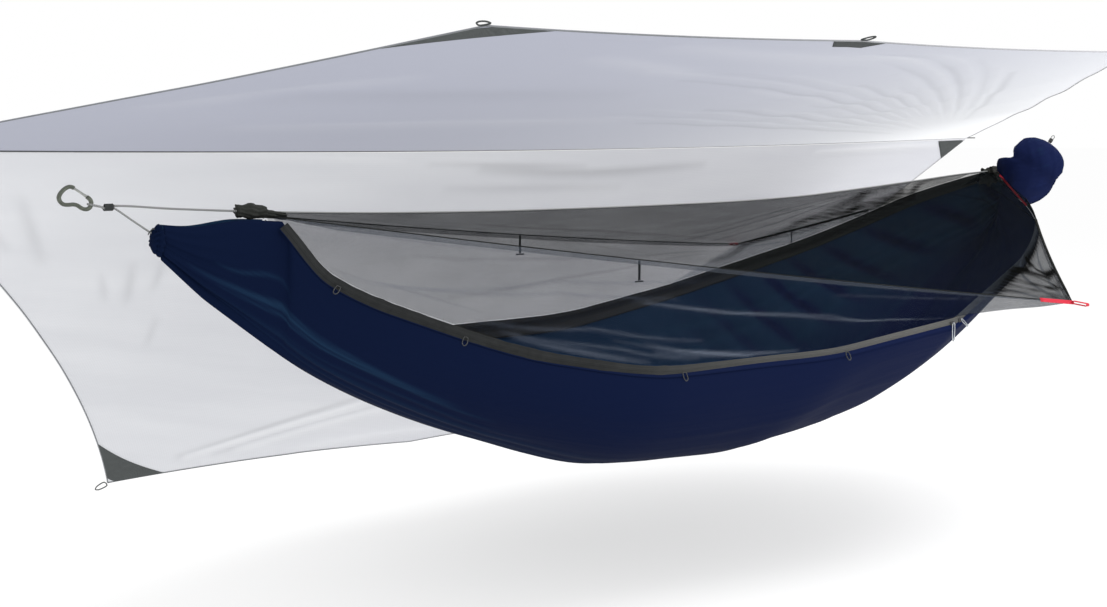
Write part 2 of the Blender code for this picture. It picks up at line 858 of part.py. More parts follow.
def make_suspension(name, facing, height, gather_end, gather_height):
    """One cord: from the gathered hem, through the whipping, round the eye and back into it."""
    start = Vector((gather_end + facing * CORD_SEAT, 0.0, gather_height))
    start.z += GATHER_HEIGHT * GATHER_CORD_SHARE
    enter = strand(facing, height, STRAND_OUT_TURN, -KNOT_HALF_LENGTH)
    leave = strand(facing, height, STRAND_OUT_TURN, KNOT_HALF_LENGTH)
    points = [start, (start + enter) / 2, enter, strand(facing, height, STRAND_OUT_TURN), leave]
    for along_share, side_share in EYE_SHARES:
        reach = KNOT_HALF_LENGTH + along_share * EYE_LENGTH
        lift = height + EYE_RISE * along_share * EYE_LENGTH
        points.append(Vector((facing * (KNOT_ALONG + reach), side_share * EYE_HALF_WIDTH, lift)))
    points.append(strand(facing, height, STRAND_BACK_TURN, KNOT_HALF_LENGTH))
    points.append(strand(facing, height, STRAND_BACK_TURN, -KNOT_HALF_LENGTH / 2))
    tube(name, [place(*point) for point in rounded(points, 2)], CORD_RADIUS, CORD)


def make_carabiner(side_name, facing, small_end):
    shares = [Vector((a, b, 0.0)) for a, b in CARABINER_SHARES]
    points = []
    for share in rounded(shares, 2):
        along, height = carabiner_point(small_end, facing, share)
        points.append(place(along, 0.0, height))
    tube(f"{side_name}_carabiner", points, CARABINER_RADIUS, METAL, resolution=2)

    hinge = place_share(small_end, facing, GATE_HINGE_SHARES)
    tip = place_share(small_end, facing, GATE_TIP_SHARES)
    way = (tip - hinge).normalized()
    back = GATE_BARREL_RADIUS
    neck = GATE_RADIUS / GATE_BARREL_RADIUS
    stations = (*GATE_SHARES, (GATE_NECK_SHARE, neck))
    spots = [hinge + way * back * station for station, size in stations]
    spots.append(tip)
    radii = [*(size for station, size in stations), neck]
    tube(f"{side_name}_gate", spots, GATE_BARREL_RADIUS, METAL, radii=radii, origin=hinge)


def place_share(small_end, facing, shares):
    along, height = carabiner_point(small_end, facing, shares)
    return place(along, 0.0, height)


# Zip tapes, sliders and rim loops


def make_tape(name, side):
    """The zip tape, a flat band swept along the rim."""
    rings = []
    half = TAPE_WIDTH / 2
    deep = TAPE_THICKNESS / 2
    for along in STATIONS:
        corners = ((half, deep), (half, -deep), (-half, -deep), (-half, deep))
        rings.append([place(*rim_offset(side, along, up, out)) for up, out in corners])
    obj = loft(name, rings, ZIP_TAPE)
    obj.data.set_sharp_from_angle(angle=SHARP_ANGLE)


def slider_seat(along):
    """Origin and directions of a slider on the near tape's outer face."""
    tangent, up, outward = tape_directions(-1, along)
    seat = on_tape(-1, along, 0.0, TAPE_THICKNESS / 2 + CLEARANCE)
    return seat, tangent, up, outward


def make_slider(name, along, pull_reach):
    seat, tangent, up, outward = slider_seat(along)
    rings = []
    for depth, size in SLIDER_DEPTH_SHARES:
        ring = []
        for x, y in SLIDER_SHARES:
            spot = seat + tangent * x * size * SLIDER_LENGTH / 2
            spot += up * y * size * SLIDER_HEIGHT / 2
            spot += outward * depth * SLIDER_DEPTH
            ring.append(place(*spot))
        rings.append(ring)
    obj = loft(name, rings, BLACK_PLASTIC, origin=place(*seat))
    obj.data.set_sharp_from_angle(angle=SHARP_ANGLE)
    make_pull(name.replace("slider", "pull"), seat, tangent, outward, pull_reach)


def make_pull(name, seat, tangent, outward, reach):
    """The cord loop on a slider, with its moulded end. reach is how far it lies along the tape."""
    flat_out = Vector((outward.x, outward.y, 0.0)).normalized()
    top = seat + outward * (SLIDER_DEPTH + CLEARANCE + PULL_CORD_RADIUS)
    top += flat_out * PULL_CORD_RADIUS
    down = (tangent * reach - Vector((0.0, 0.0, math.sqrt(1 - reach * reach)))).normalized()
    across = outward.cross(down).normalized()
    points = []
    radii = []
    for x, y, size in PULL_SHARES:
        points.append(place(*(top + across * x * PULL_HALF_WIDTH + down * y * PULL_DROP)))
        radii.append(size)
    tube(
        name,
        points,
        PULL_CORD_RADIUS,
        PULL_CORD,
        cyclic=True,
        resolution=1,
        radii=radii,
        origin=place(*seat),
    )


def make_rim_loop(name, side, along):
    """An elastic loop sewn to the tape's outer face, hanging below it."""
    tangent, up, outward = tape_directions(side, along)
    out_by = TAPE_THICKNESS / 2 + LOOP_GAP + LOOP_CORD_RADIUS
    top = on_tape(side, along, LOOP_OVERLAP - TAPE_WIDTH / 2, out_by)
    down = (outward * LOOP_LEAN_SHARE - up).normalized()
    points = []
    for x, y in LOOP_SHARES:
        spot = top + tangent * x * LOOP_HALF_WIDTH + down * y * LOOP_LENGTH
        points.append(place(*spot))
    tube(name, rounded(points, 2, cyclic=True), LOOP_CORD_RADIUS, PULL_CORD, cyclic=True, resolution=1)


# Bug net


def tip_of(side):
    return Vector(NEAR_TIP if side < 0 else FAR_TIP)


def tape_top(side, along):
    return rim_offset(side, along, TAPE_WIDTH / 2 + NET_GAP)


def seam_start(side):
    return Vector((NET_LEFT_ALONG, side * NET_LEFT_SIDE, NET_LEFT_HEIGHT))


def seam_left(side, t):
    """The seam from the left end to the pull-out tip, hanging a little."""
    start = seam_start(side)
    point = start + (tip_of(side) - start) * t
    point.z -= SEAM_SAG * 4 * t * (1 - t)
    return point


def seam_right(side, t):
    """The seam from the pull-out tip to where it meets the rim, just above the tape."""
    end = tape_top(side, NET_MEET_ALONG)
    end.z += SEAM_LIFT
    point = tip_of(side) + (end - tip_of(side)) * t
    point.y -= side * SEAM_SAG * 4 * t * (1 - t)
    return point


def ridge_edge(side, along):
    off = CORD_RADIUS + CLEARANCE + NET_THICKNESS
    return Vector((along, side * off, RIDGE(along)[0]))


def net_row(first, last, bow):
    """Points from one edge of a net to the other, drawn in from both and bowed up between."""
    way = (last - first).normalized() * NET_GAP
    first = first + way
    last = last - way
    row = []
    for j in range(NET_ACROSS_CELLS + 1):
        t = j / NET_ACROSS_CELLS
        point = first + (last - first) * t
        point.z += bow * math.sin(math.pi * t)
        row.append(place(*point))
    return row


def upper_columns(side):
    """(ridge point, seam or tape point) for each column of an upper net, left to right."""
    tip = tip_of(side)
    found = []
    for i in range(NET_LEFT_CELLS + 1):
        t = i / NET_LEFT_CELLS
        along = NET_LEFT_ALONG + (tip.x - NET_LEFT_ALONG) * t
        found.append((ridge_edge(side, along), seam_left(side, t)))
    cells = MEET_STATION - TIP_STATION
    for i in range(1, cells + 1):
        seam = seam_right(side, i / cells)
        found.append((ridge_edge(side, seam.x), seam))
    for along in STATIONS[MEET_STATION + 1 : RIGHT_STATION + 1]:
        found.append((ridge_edge(side, along), tape_top(side, along)))
    return found


def make_upper_net(name, side):
    bow = steady_curve([(share, NET_BOW * rise) for share, rise in NET_BOW_SHARES])
    reach = STATIONS[RIGHT_STATION] - NET_LEFT_ALONG
    rows = []
    for i, (first, last) in enumerate(upper_columns(side)):
        share = (first.x - NET_LEFT_ALONG) / reach
        fold = NET_FOLD_SHARE * math.cos(i * math.pi / 2) * (last - first).length
        rows.append(net_row(first, last, bow(share)[0] + fold))
    cloth(name, rows, NET_THICKNESS, NETTING)


def make_lower_net(name, side):
    """From the seam down to the tape. Right of the tip it folds back under the upper net."""
    rows = []
    left_cells = TIP_STATION - NET_LEFT_STATION
    right_cells = MEET_STATION - TIP_STATION
    for i in range(NET_LEFT_STATION, MEET_STATION + 1):
        if i <= TIP_STATION:
            first = seam_left(side, (i - NET_LEFT_STATION) / left_cells)
        else:
            first = seam_right(side, (i - TIP_STATION) / right_cells)
        if i >= TIP_STATION - 1:
            first.z -= SEAM_STEP
        last = tape_top(side, STATIONS[i])
        fold = NET_FOLD_SHARE * math.cos(i * math.pi / 2) * (last - first).length
        rows.append(net_row(first, last, fold))
    cloth(name, rows, NET_THICKNESS, NETTING)


def make_sleeve(name, shares):
    """A gathered cuff on the ridgeline."""
    first, last = (
        place(share * BED_LENGTH / 2, 0.0, RIDGE(share * BED_LENGTH / 2)[0]) for share in shares
    )
    length = (last - first).length
    profile = []
    for share, size in SLEEVE_SHARES:
        profile.append((SLEEVE_RADIUS * size, length * share))
    profile.append((SLEEVE_BORE, 0.0))
    profile.append((SLEEVE_BORE, length))
    turned(name, profile, SLEEVE_SIDES, ZIP_TAPE, first, (last - first).normalized())


def make_tab(name, side, length):
    """A webbing loop at a pull-out tip: a flat long eye, open from side to side."""
    tip = tip_of(side)
    out = Vector((0.0, side, -TAB_FALL_SHARE)).normalized()
    cross = Vector((1.0, 0.0, 0.0))
    rise = cross.cross(out).normalized()
    if rise.z < 0:
        rise = -rise
    outer = rounded_slot(length, TAB_HEIGHT)
    inner = rounded_slot(length - 2 * TAB_WEB, TAB_HEIGHT - 2 * TAB_WEB)
    middle = tip + out * (length / 2 + TAB_GAP)
    basis = (out, rise, out.cross(rise))
    flat_shape(name, (outer, inner), TAB_WIDTH, CORAL_WEBBING, place(*middle), basis)


def rounded_slot(length, height):
    """Outline of a long slot with round ends, centred on zero."""
    radius = height / 2
    reach = length / 2 - radius
    points = []
    for i in range(SLOT_STEPS + 1):
        turn = -math.pi / 2 + math.pi * i / SLOT_STEPS
        points.append((reach + radius * math.cos(turn), radius * math.sin(turn)))
    for i in range(SLOT_STEPS + 1):
        turn = math.pi / 2 + math.pi * i / SLOT_STEPS
        points.append((-reach + radius * math.cos(turn), radius * math.sin(turn)))
    return points


def toggle_top(side, along):
    """Where a toggle's strap hangs from the net's seam."""
    tip = tip_of(side)
    if along <= tip.x:
        return seam_left(side, (along - NET_LEFT_ALONG) / (tip.x - NET_LEFT_ALONG))
    return seam_right(side, (along - tip.x) / (NET_MEET_ALONG - tip.x))


def make_toggle(name, side, along, length, way, drop):
    """A short webbing strap with a moulded bar across its end."""
    top = toggle_top(side, along) + Vector((0.0, way * side * drop, -drop))
    pivot = place(*top)
    half = STRAP_WIDTH / 2
    deep = STRAP_THICKNESS / 2
    rings = []
    for share in (0.0, 1.0):
        corners = ((-half, -deep), (half, -deep), (half, deep), (-half, deep))
        rings.append([pivot + Vector((x, y, -share * length)) for x, y in corners])
    strap = loft(f"{name}_strap", rings, ZIP_TAPE, origin=pivot)
    strap.data.set_sharp_from_angle(angle=SHARP_ANGLE)
    centre = pivot + Vector((0.0, 0.0, -length - TOGGLE_BAR_RADIUS - CLEARANCE))
    reach = TOGGLE_BAR_LENGTH / 2
    spots = [centre + Vector((share * reach, 0.0, 0.0)) for share, size in TOGGLE_BAR_SHARES]
    radii = [size for share, size in TOGGLE_BAR_SHARES]
    tube(f"{name}_bar", spots, TOGGLE_BAR_RADIUS, BLACK_PLASTIC, radii=radii, origin=pivot)


# Stuff sack


def sack_axes(share):
    """Along, across and through the sack, which turns from the rim's line to face out."""
    way = Vector(SACK_WAY).normalized()
    turn = min(1.0, share / SACK_TURN_SHARE)
    wide = Vector(SACK_BASE_SIDE).lerp(Vector(SACK_TOP_SIDE), turn).normalized()
    return way, wide, way.cross(wide).normalized()


def make_sack():
    base = Vector(SACK_BASE)
    rings = []
    for share, width, depth in SACK_SHARES:
        way, wide, deep = sack_axes(share)
        ring = []
        for j in range(SACK_SIDES):
            turn = 2 * math.pi * j / SACK_SIDES
            pucker = SACK_PUCKER * math.cos(SACK_PUCKERS * turn) * (1 - share)
            x = (SACK_WIDTH / 2 * width + pucker) * math.cos(turn)
            y = (SACK_THICKNESS / 2 * depth + pucker) * math.sin(turn)
            ring.append(place(*(base + way * share * SACK_LENGTH + wide * x + deep * y)))
        rings.append(ring)
    loft("stuff_sack", rings, NAVY_NYLON)


def make_sack_trim():
    """The webbing that joins the sack's base to the end of the bed."""
    way, wide, deep = sack_axes(0.0)
    base = Vector(SACK_BASE) - way * (TRIM_HEIGHT + CLEARANCE)
    half = SACK_WIDTH / 2 * SACK_SHARES[0][1]
    rings = []
    for i in range(TRIM_CELLS + 1):
        x = 2 * i / TRIM_CELLS - 1
        centre = base + wide * half * x - deep * TRIM_BOW * (1 - x * x)
        corners = ((0.0, 0.0), (1.0, 0.0), (1.0, 1.0), (0.0, 1.0))
        rings.append(
            [
                place(*(centre + way * a * TRIM_HEIGHT + deep * b * TRIM_THICKNESS))
                for a, b in corners
            ]
        )
    trim = loft("sack_webbing", rings, CORAL_WEBBING)
    trim.data.set_sharp_from_angle(angle=SHARP_ANGLE)


def make_drawcord():
    """The cord loop at the sack's closed mouth, and the lock that slides on it."""
    way, wide, deep = sack_axes(1.0)
    root = Vector(SACK_BASE) + way * (SACK_LENGTH + DRAWCORD_RADIUS + CLEARANCE)
    points = []
    for x, y in DRAWCORD_SHARES:
        points.append(place(*(root + wide * x * DRAWCORD_HALF_WIDTH + way * y * DRAWCORD_LENGTH)))
    tube("sack_drawcord", rounded(points, 2, cyclic=True), DRAWCORD_RADIUS, CORD, cyclic=True, resolution=1)

    lift = DRAWCORD_LENGTH * LOCK_SEAT_SHARE
    seat = place(*(root + way * lift))
    profile = [
        (0.0, LOCK_LENGTH),
        (LOCK_RADIUS - LOCK_EDGE, LOCK_LENGTH),
        (LOCK_RADIUS, LOCK_LENGTH - LOCK_EDGE),
        (LOCK_RADIUS, LOCK_EDGE),
        (LOCK_RADIUS - LOCK_EDGE, 0.0),
        (0.0, 0.0),
    ]
    lock = turned("cord_lock", profile, LOCK_SIDES, BLACK_PLASTIC, seat, way)
    for number, sign in enumerate((-1, 1)):
        bore = bpy.data.meshes.new(f"cord_lock_bore_{number}")
        shape = bmesh.new()
        bmesh.ops.create_cone(
            shape,
            cap_ends=True,
            segments=LOCK_BORE_SIDES,
            radius1=LOCK_BORE,
            radius2=LOCK_BORE,
            depth=LOCK_LENGTH * 2,
        )
        shape.to_mesh(bore)
        shape.free()
        cutter = bpy.data.objects.new(f"cord_lock_bore_{number}", bore)
        middle = root + way * (lift + LOCK_LENGTH / 2) + wide * sign * DRAWCORD_HALF_WIDTH
        cutter.location = place(*middle)
        cutter.rotation_euler = way.to_track_quat("Z", "Y").to_euler()
        cutter.hide_render = True
        cutter.display_type = "WIRE"
        CUTTERS.objects.link(cutter)
        cut = lock.modifiers.new(f"bore_{number}", "BOOLEAN")
        cut.operation = "DIFFERENCE"
        cut.object = cutter


# Rain fly: x along the ridge, out away from it, in the plane of a panel


def side_edge(side, end, out):
    """x of a panel's left (-1) or right (1) edge at a distance out from the ridge."""
    t = out / FLY_PANEL_WIDTH
    reach = FLY_RIDGE_LENGTH / 2 + (FLY_OUTER_LENGTH - FLY_RIDGE_LENGTH) / 2 * t
    return end * (reach - SIDE_SAGS[(side, end)] * 4 * t * (1 - t))


def outer_edge(x):
    """Distance out of the outer edge, drawn in between its corners and its middle."""
    t = abs(x) / (FLY_OUTER_LENGTH / 2)
    return FLY_PANEL_WIDTH - OUTER_SAG * 4 * t * max(0.0, 1 - t)


def fly_relief(side, x, out):
    """Height of a panel's cloth off its flat plane: a hollow and a few long folds."""
    t = out / FLY_PANEL_WIDTH
    s = x / (FLY_RIDGE_LENGTH / 2)
    hollow = -FLY_SAG * math.sin(math.pi * t) * max(0.0, 1 - s * s)
    phase = 2 * math.pi * (x + FLY_FOLD_LEAN_SHARES[side] * out) / FLY_FOLD_PITCH
    away = (s - FLY_FOLD_PLACE_SHARES[side]) / FLY_FOLD_REACH_SHARE
    window = math.exp(-(away**2)) * math.sin(math.pi * t) ** 2
    return hollow + FLY_FOLD * math.cos(phase) * window


def panel_point(side, x, out, lift=0.0):
    return Vector((x, side * out, fly_relief(side, x, out) + lift))


def make_panel(name, side, hinge):
    start = RIDGE_TAPE_RADIUS + RIDGE_TAPE_GAP
    rows = []
    for i in range(FLY_CELLS_OUT + 1):
        t = i / FLY_CELLS_OUT
        row = []
        for j in range(FLY_CELLS_ALONG + 1):
            s = j / FLY_CELLS_ALONG
            guess = start + (FLY_PANEL_WIDTH - start) * t
            left = side_edge(side, -1, guess)
            right = side_edge(side, 1, guess)
            x = left + (right - left) * s
            limit = outer_edge(x * FLY_OUTER_LENGTH / (right - left))
            out = start + (limit - start) * t
            row.append(panel_point(side, x, out))
        rows.append(row)
    cloth(name, rows, FLY_THICKNESS, FLY_CLOTH, parent=hinge)


def patch_lift():
    """Patches lie on the underside of the cloth."""
    return -(FLY_THICKNESS + PATCH_THICKNESS) / 2 - PATCH_GAP


def make_corner_patch(name, side, end, hinge):
    """A corner reinforcement, its two outer sides along the panel's own edges."""
    rows = []
    for i in range(PATCH_CELLS + 1):
        r = PATCH_TIP_SHARE + (1 - PATCH_TIP_SHARE) * i / PATCH_CELLS
        out = FLY_PANEL_WIDTH - PATCH_EDGE - r * PATCH_SIDE
        first = (side_edge(side, end, out) - end * PATCH_EDGE, out)
        x = end * (FLY_OUTER_LENGTH / 2 - PATCH_EDGE - r * PATCH_OUTER)
        last = (x, outer_edge(x) - PATCH_EDGE)
        row = []
        for j in range(PATCH_CELLS + 1):
            q = j / PATCH_CELLS
            px = first[0] + (last[0] - first[0]) * q
            po = first[1] + (last[1] - first[1]) * q
            row.append(panel_point(side, px, po, patch_lift()))
        rows.append(row)
    cloth(name, rows, PATCH_THICKNESS, PATCH_CLOTH, parent=hinge)


def make_ridge_patch(name, side, end, hinge):
    start = RIDGE_TAPE_RADIUS + RIDGE_TAPE_GAP
    rows = []
    for i in range(PATCH_CELLS + 1):
        r = PATCH_TIP_SHARE + (1 - PATCH_TIP_SHARE) * i / PATCH_CELLS
        out = start + r * RIDGE_PATCH_SIDE
        first = (side_edge(side, end, out) - end * PATCH_EDGE, out)
        last = (end * (FLY_RIDGE_LENGTH / 2 - PATCH_EDGE - r * RIDGE_PATCH_LENGTH), start + PATCH_EDGE)
        row = []
        for j in range(PATCH_CELLS + 1):
            q = j / PATCH_CELLS
            px = first[0] + (last[0] - first[0]) * q
            po = first[1] + (last[1] - first[1]) * q
            row.append(panel_point(side, px, po, patch_lift()))
        rows.append(row)
    cloth(name, rows, PATCH_THICKNESS, PATCH_CLOTH, parent=hinge)


def make_middle_patch(name, side, hinge):
    rows = []
    for i in range(PATCH_CELLS + 1):
        r = i / PATCH_CELLS
        row = []
        for j in range(PATCH_CELLS + 1):
            q = 2 * j / PATCH_CELLS - 1
            x = q * MIDDLE_PATCH_HALF * (1 - MIDDLE_PATCH_TAPER_SHARE * r)
            out = outer_edge(x) - PATCH_EDGE - r * MIDDLE_PATCH_DEPTH
            row.append(panel_point(side, x, out, patch_lift()))
        rows.append(row)
    cloth(name, rows, PATCH_THICKNESS, PATCH_CLOTH, parent=hinge)


def make_tie(name, side, x, out, way, hinge):
    """A webbing loop that stands out from a corner or an edge, in the cloth's plane."""
    start = Vector((x, side * out, 0.0))
    way = Vector((way[0], side * way[1], 0.0)).normalized()
    cross = Vector((-way.y, way.x, 0.0))
    base = start + way * (TIE_GAP + TIE_RADIUS)
    points = []
    for a, b in TIE_SHARES:
        points.append(base + way * a * TIE_LENGTH + cross * b * TIE_HALF_WIDTH)
    loop = tube(name, rounded(points, 2, cyclic=True), TIE_RADIUS, PATCH_CLOTH, cyclic=True, resolution=1)
    loop.parent = hinge


def make_fly():
    ridge = place(*FLY_RIDGE_PLACE)
    near = empty("fly_near_hinge", ridge, -NEAR_PITCH)
    far = empty("fly_far_hinge", ridge, -FAR_PITCH)
    reach = Vector((FLY_RIDGE_LENGTH / 2, 0.0, 0.0))
    tube("fly_ridge_seam", [ridge - reach, ridge, ridge + reach], RIDGE_TAPE_RADIUS, PATCH_CLOTH)
    for label, side, hinge in (("near", -1, near), ("far", 1, far)):
        make_panel(f"fly_{label}_panel", side, hinge)
        for end_name, end in (("left", -1), ("right", 1)):
            make_corner_patch(f"fly_{label}_{end_name}_patch", side, end, hinge)
            x = end * FLY_OUTER_LENGTH / 2
            way = (end * CORNER_TIE_SHARES[0], CORNER_TIE_SHARES[1])
            make_tie(f"fly_{label}_{end_name}_loop", side, x, FLY_PANEL_WIDTH, way, hinge)
    make_middle_patch("fly_near_middle_patch", -1, near)
    make_tie("fly_near_middle_loop", -1, 0.0, FLY_PANEL_WIDTH, (0.0, 1.0), near)
    for end_name, end in (("left", -1), ("right", 1)):
        make_ridge_patch(f"fly_{end_name}_ridge_patch", 1, end, far)
        loop_base = empty(f"fly_{end_name}_ridge_end", ridge)
        make_tie(f"fly_{end_name}_ridge_loop", 1, end * FLY_RIDGE_LENGTH / 2, 0.0, (end, 0.0), loop_base)


def main():
    make_bed()
    ends = (
        ("left", -1, LEFT_KNOT_HEIGHT, LEFT_SMALL_END),
        ("right", 1, RIGHT_KNOT_HEIGHT, RIGHT_SMALL_END),
    )
    make_ridgeline()
    for name, facing, height, small_end in ends:
        gather_end, gather_height = make_gather(f"{name}_gather", facing)
        make_knot(f"{name}_knot", facing, height)
        make_suspension(f"{name}_suspension", facing, height, gather_end, gather_height)
        make_carabiner(name, -facing, small_end)
    for name, side, tab in (("near", -1, NEAR_TAB_LENGTH), ("far", 1, FAR_TAB_LENGTH)):
        make_tape(f"{name}_zip_tape", side)
        make_upper_net(f"{name}_upper_net", side)
        make_lower_net(f"{name}_lower_net", side)
        make_tab(f"{name}_pullout", side, tab)
    make_sleeve("left_net_sleeve", LEFT_SLEEVE_SHARES)
    make_sleeve("right_net_sleeve", RIGHT_SLEEVE_SHARES)
    make_slider("left_slider", LEFT_SLIDER_ALONG, 0.0)
    make_slider("right_slider", RIGHT_SLIDER_ALONG, RIGHT_PULL_REACH)
    for (name, side, length, way, drop), share in zip(TOGGLES, TOGGLE_ALONG_SHARES):
        make_toggle(name, side, share * BED_LENGTH / 2, length, way, drop)
    for (name, side), share in zip(RIM_LOOPS, RIM_LOOP_SHARES):
        make_rim_loop(name, side, share * BED_LENGTH / 2)
    make_sack()
    make_sack_trim()
    make_drawcord()
    make_fly()


main()
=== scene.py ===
"""The looks of the hammock tent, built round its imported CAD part.

Lengths are in metres, in the part's own frame. Inside the hammock a place is
given as (along, side, height), as in the part's source.
"""

import math

import bpy
import numpy as np
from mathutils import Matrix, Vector


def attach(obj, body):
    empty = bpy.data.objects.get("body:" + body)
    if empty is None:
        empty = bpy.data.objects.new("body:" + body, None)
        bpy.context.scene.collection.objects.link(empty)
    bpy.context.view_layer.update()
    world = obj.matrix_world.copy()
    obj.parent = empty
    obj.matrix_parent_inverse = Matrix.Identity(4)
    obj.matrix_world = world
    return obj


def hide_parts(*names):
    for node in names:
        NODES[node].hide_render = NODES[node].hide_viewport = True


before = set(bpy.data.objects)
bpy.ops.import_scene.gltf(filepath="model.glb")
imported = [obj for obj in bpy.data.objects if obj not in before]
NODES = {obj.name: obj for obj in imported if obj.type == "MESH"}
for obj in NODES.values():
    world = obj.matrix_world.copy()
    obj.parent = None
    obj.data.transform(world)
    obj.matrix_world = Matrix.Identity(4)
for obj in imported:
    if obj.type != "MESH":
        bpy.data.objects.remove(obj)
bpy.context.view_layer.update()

# Camera, as fitted to the photograph's frame
CAMERA = (-1.1279, -3.0712, 0.1477)
YAW, PITCH, FOCAL_PX, FRAME_PX, SENSOR_MM = 0.6419, -0.1114, 1649.95, 1107, 36.0

eye = bpy.data.objects.new("eye", bpy.data.cameras.new("eye"))
eye.location = CAMERA
eye.rotation_euler = (math.pi / 2 + PITCH, 0.0, -YAW)
eye.data.sensor_width = SENSOR_MM
eye.data.lens = FOCAL_PX / FRAME_PX * SENSOR_MM
eye.data.clip_end = 60.0
bpy.context.scene.collection.objects.link(eye)
bpy.context.scene.camera = eye
bpy.context.scene.view_settings.view_transform = "Standard"

# The part's own values
HANG = (-1.52334, 0.0246)
BED_LENGTH, RIM_WIDTH, KEEL_DEPTH = 2.69, 1.04, 0.68
PLEAT_DEPTH, PLEAT_REACH, BED_PLEATS = 0.009, 0.42, 5
NET_CELLS, NET_COLUMNS, HEM_COLUMNS = 44, 300, 160
TAPE_WIDTH, TAPE_THICK, TAPE_LEAN = 0.024, 0.0014, math.radians(20)
SEAM_INSET, NET_GAP = 0.0006, 0.0012
RIM_ROWS = (
    (-0.803, 0.096, 0.066), (-0.743, 0.192, 0.231), (-0.632, 0.394, 0.351),
    (-0.446, 0.673, 0.481), (-0.260, 0.850, 0.533), (-0.074, 0.871, 0.532),
    (0.104, 0.938, 0.515), (0.3346, 0.994, 0.457), (0.3435, 0.994, 0.453),
    (0.595, 0.802, 0.312), (0.777, 0.575, 0.168), (0.833, 0.404, 0.092),
    (0.885, 0.163, 0.019), (0.907, 0.080, -0.004),
)
RIM_SPANS = (2, 2, 3, 3, 3, 3, 3, 1, 4, 3, 1, 1, 1)
NET_LEFT_STATION, TIP_STATION, MEET_STATION, RIGHT_STATION = 1, 20, 27, 29
LEFT_EDGE = ((-0.985, 0.030, 0.052), (-0.940, 0.038, 0.060), (-0.862, 0.050, 0.046))
RIGHT_EDGE = ((0.945, 0.050, 0.008), (0.985, 0.030, 0.014))
KEEL_ROWS = (
    (-0.985, 0.145), (-0.892, 0.306), (-0.743, 0.531), (-0.595, 0.684), (-0.446, 0.800),
    (-0.223, 0.933), (0.000, 0.968), (0.112, 0.982), (0.297, 0.959), (0.446, 0.900),
    (0.595, 0.668), (0.743, 0.481), (0.892, 0.270), (0.985, 0.100),
)
FLAT_ROWS = (
    (-0.985, 0.00), (-0.600, 0.00), (-0.300, 0.05), (0.000, 0.21), (0.200, 0.60),
    (0.400, 0.69), (0.600, 0.65), (0.800, 0.70), (0.985, 0.40),
)
RIDGE_ROWS = (
    (-1.4280, 0.0052), (-1.4180, 0.0050), (-1.3000, -0.0045), (-1.1600, -0.0136),
    (-1.0400, -0.0205), (-0.7700, -0.0305), (-0.4500, -0.0362), (-0.1500, -0.0374),
    (0.1500, -0.0362), (0.4200, -0.0300), (0.6500, -0.0165), (0.9000, 0.0015),
    (1.1000, 0.0165), (1.2500, 0.0235), (1.4180, 0.0280), (1.4280, 0.0282),
)
NET_LEFT, NET_BESIDE = (-1.088, 0.0105, -0.0265), 0.0031
SEAM_SAG, SEAM_STEP, SEAM_LIFT = 0.009, 0.0018, 0.007
NET_BOW = ((0.0, 0.0), (0.25, -0.014), (0.6, -0.010), (0.74, 0.010), (0.92, 0.024), (1.0, 0.004))
TIPS = {-1: Vector((0.780, -0.608, -0.2745)), 1: Vector((0.7185, 0.525, -0.1975))}
FLY_RIDGE, FLY_OUTER, FLY_WIDE = 3.32, 1.84, 1.106
FLY_HINGE = Vector((-0.1387 - HANG[0], 0.3333, 0.1129 - HANG[1]))
FLY_PITCH = {-1: -math.radians(11.3), 1: -math.radians(52.9)}
FLY_SIDE_SAG = {(-1, -1): -0.014, (-1, 1): -0.010, (1, -1): 0.090, (1, 1): 0.045}
OUTER_SAG = 0.018


def place(a, s, h):
    return Vector((a - HANG[0], s, h - HANG[1]))


def clamped(x):
    return min(1.0, max(0.0, x))


def eased(x):
    """From 0 to 1, with a gentle start and end."""
    t = clamped(x)
    return t * t * (3 - 2 * t)


def bell(x):
    return math.exp(-(x**2))


def around(n):
    """The angles of n equal steps, once round."""
    return [2 * math.pi * j / n for j in range(n)]


def mirrored(left):
    """A line from left to right, given as its left half."""
    return [*left, *((-x, y) for x, y in reversed(left) if x)]


def closed(quarter):
    """A closed outline, given as its upper left quarter."""
    top = mirrored(quarter)
    return [*top, *((x, -y) for x, y in reversed(top[1:-1]))]


def steady(rows, straight=()):
    """The smooth curve through rows (x, y, ...) that never overshoots them."""
    xs = [r[0] for r in rows]
    columns = list(zip(*[r[1:] for r in rows]))
    slopes = []
    for c in columns:
        steps = [(c[i + 1] - c[i]) / (xs[i + 1] - xs[i]) for i in range(len(xs) - 1)]
        t = [steps[0]]
        t += [0.0 if p * q <= 0 else 2 * p * q / (p + q) for p, q in zip(steps, steps[1:])]
        t.append(steps[-1])
        for run in straight:
            t[run] = t[run + 1] = steps[run]
        slopes.append(t)

    def value(x):
        i = max(0, min(len(xs) - 2, sum(1 for k in xs[1:-1] if k <= x)))
        w = xs[i + 1] - xs[i]
        t = clamped((x - xs[i]) / w)
        h = (2 * t**3 - 3 * t**2 + 1, (t**3 - 2 * t**2 + t) * w, 3 * t**2 - 2 * t**3, (t**3 - t**2) * w)
        return [
            h[0] * c[i] + h[1] * s[i] + h[2] * c[i + 1] + h[3] * s[i + 1]
            for c, s in zip(columns, slopes)
        ]

    return value


def scaled(rows):
    return [(a * BED_LENGTH / 2, s * RIM_WIDTH / 2, -d * KEEL_DEPTH) for a, s, d in rows]


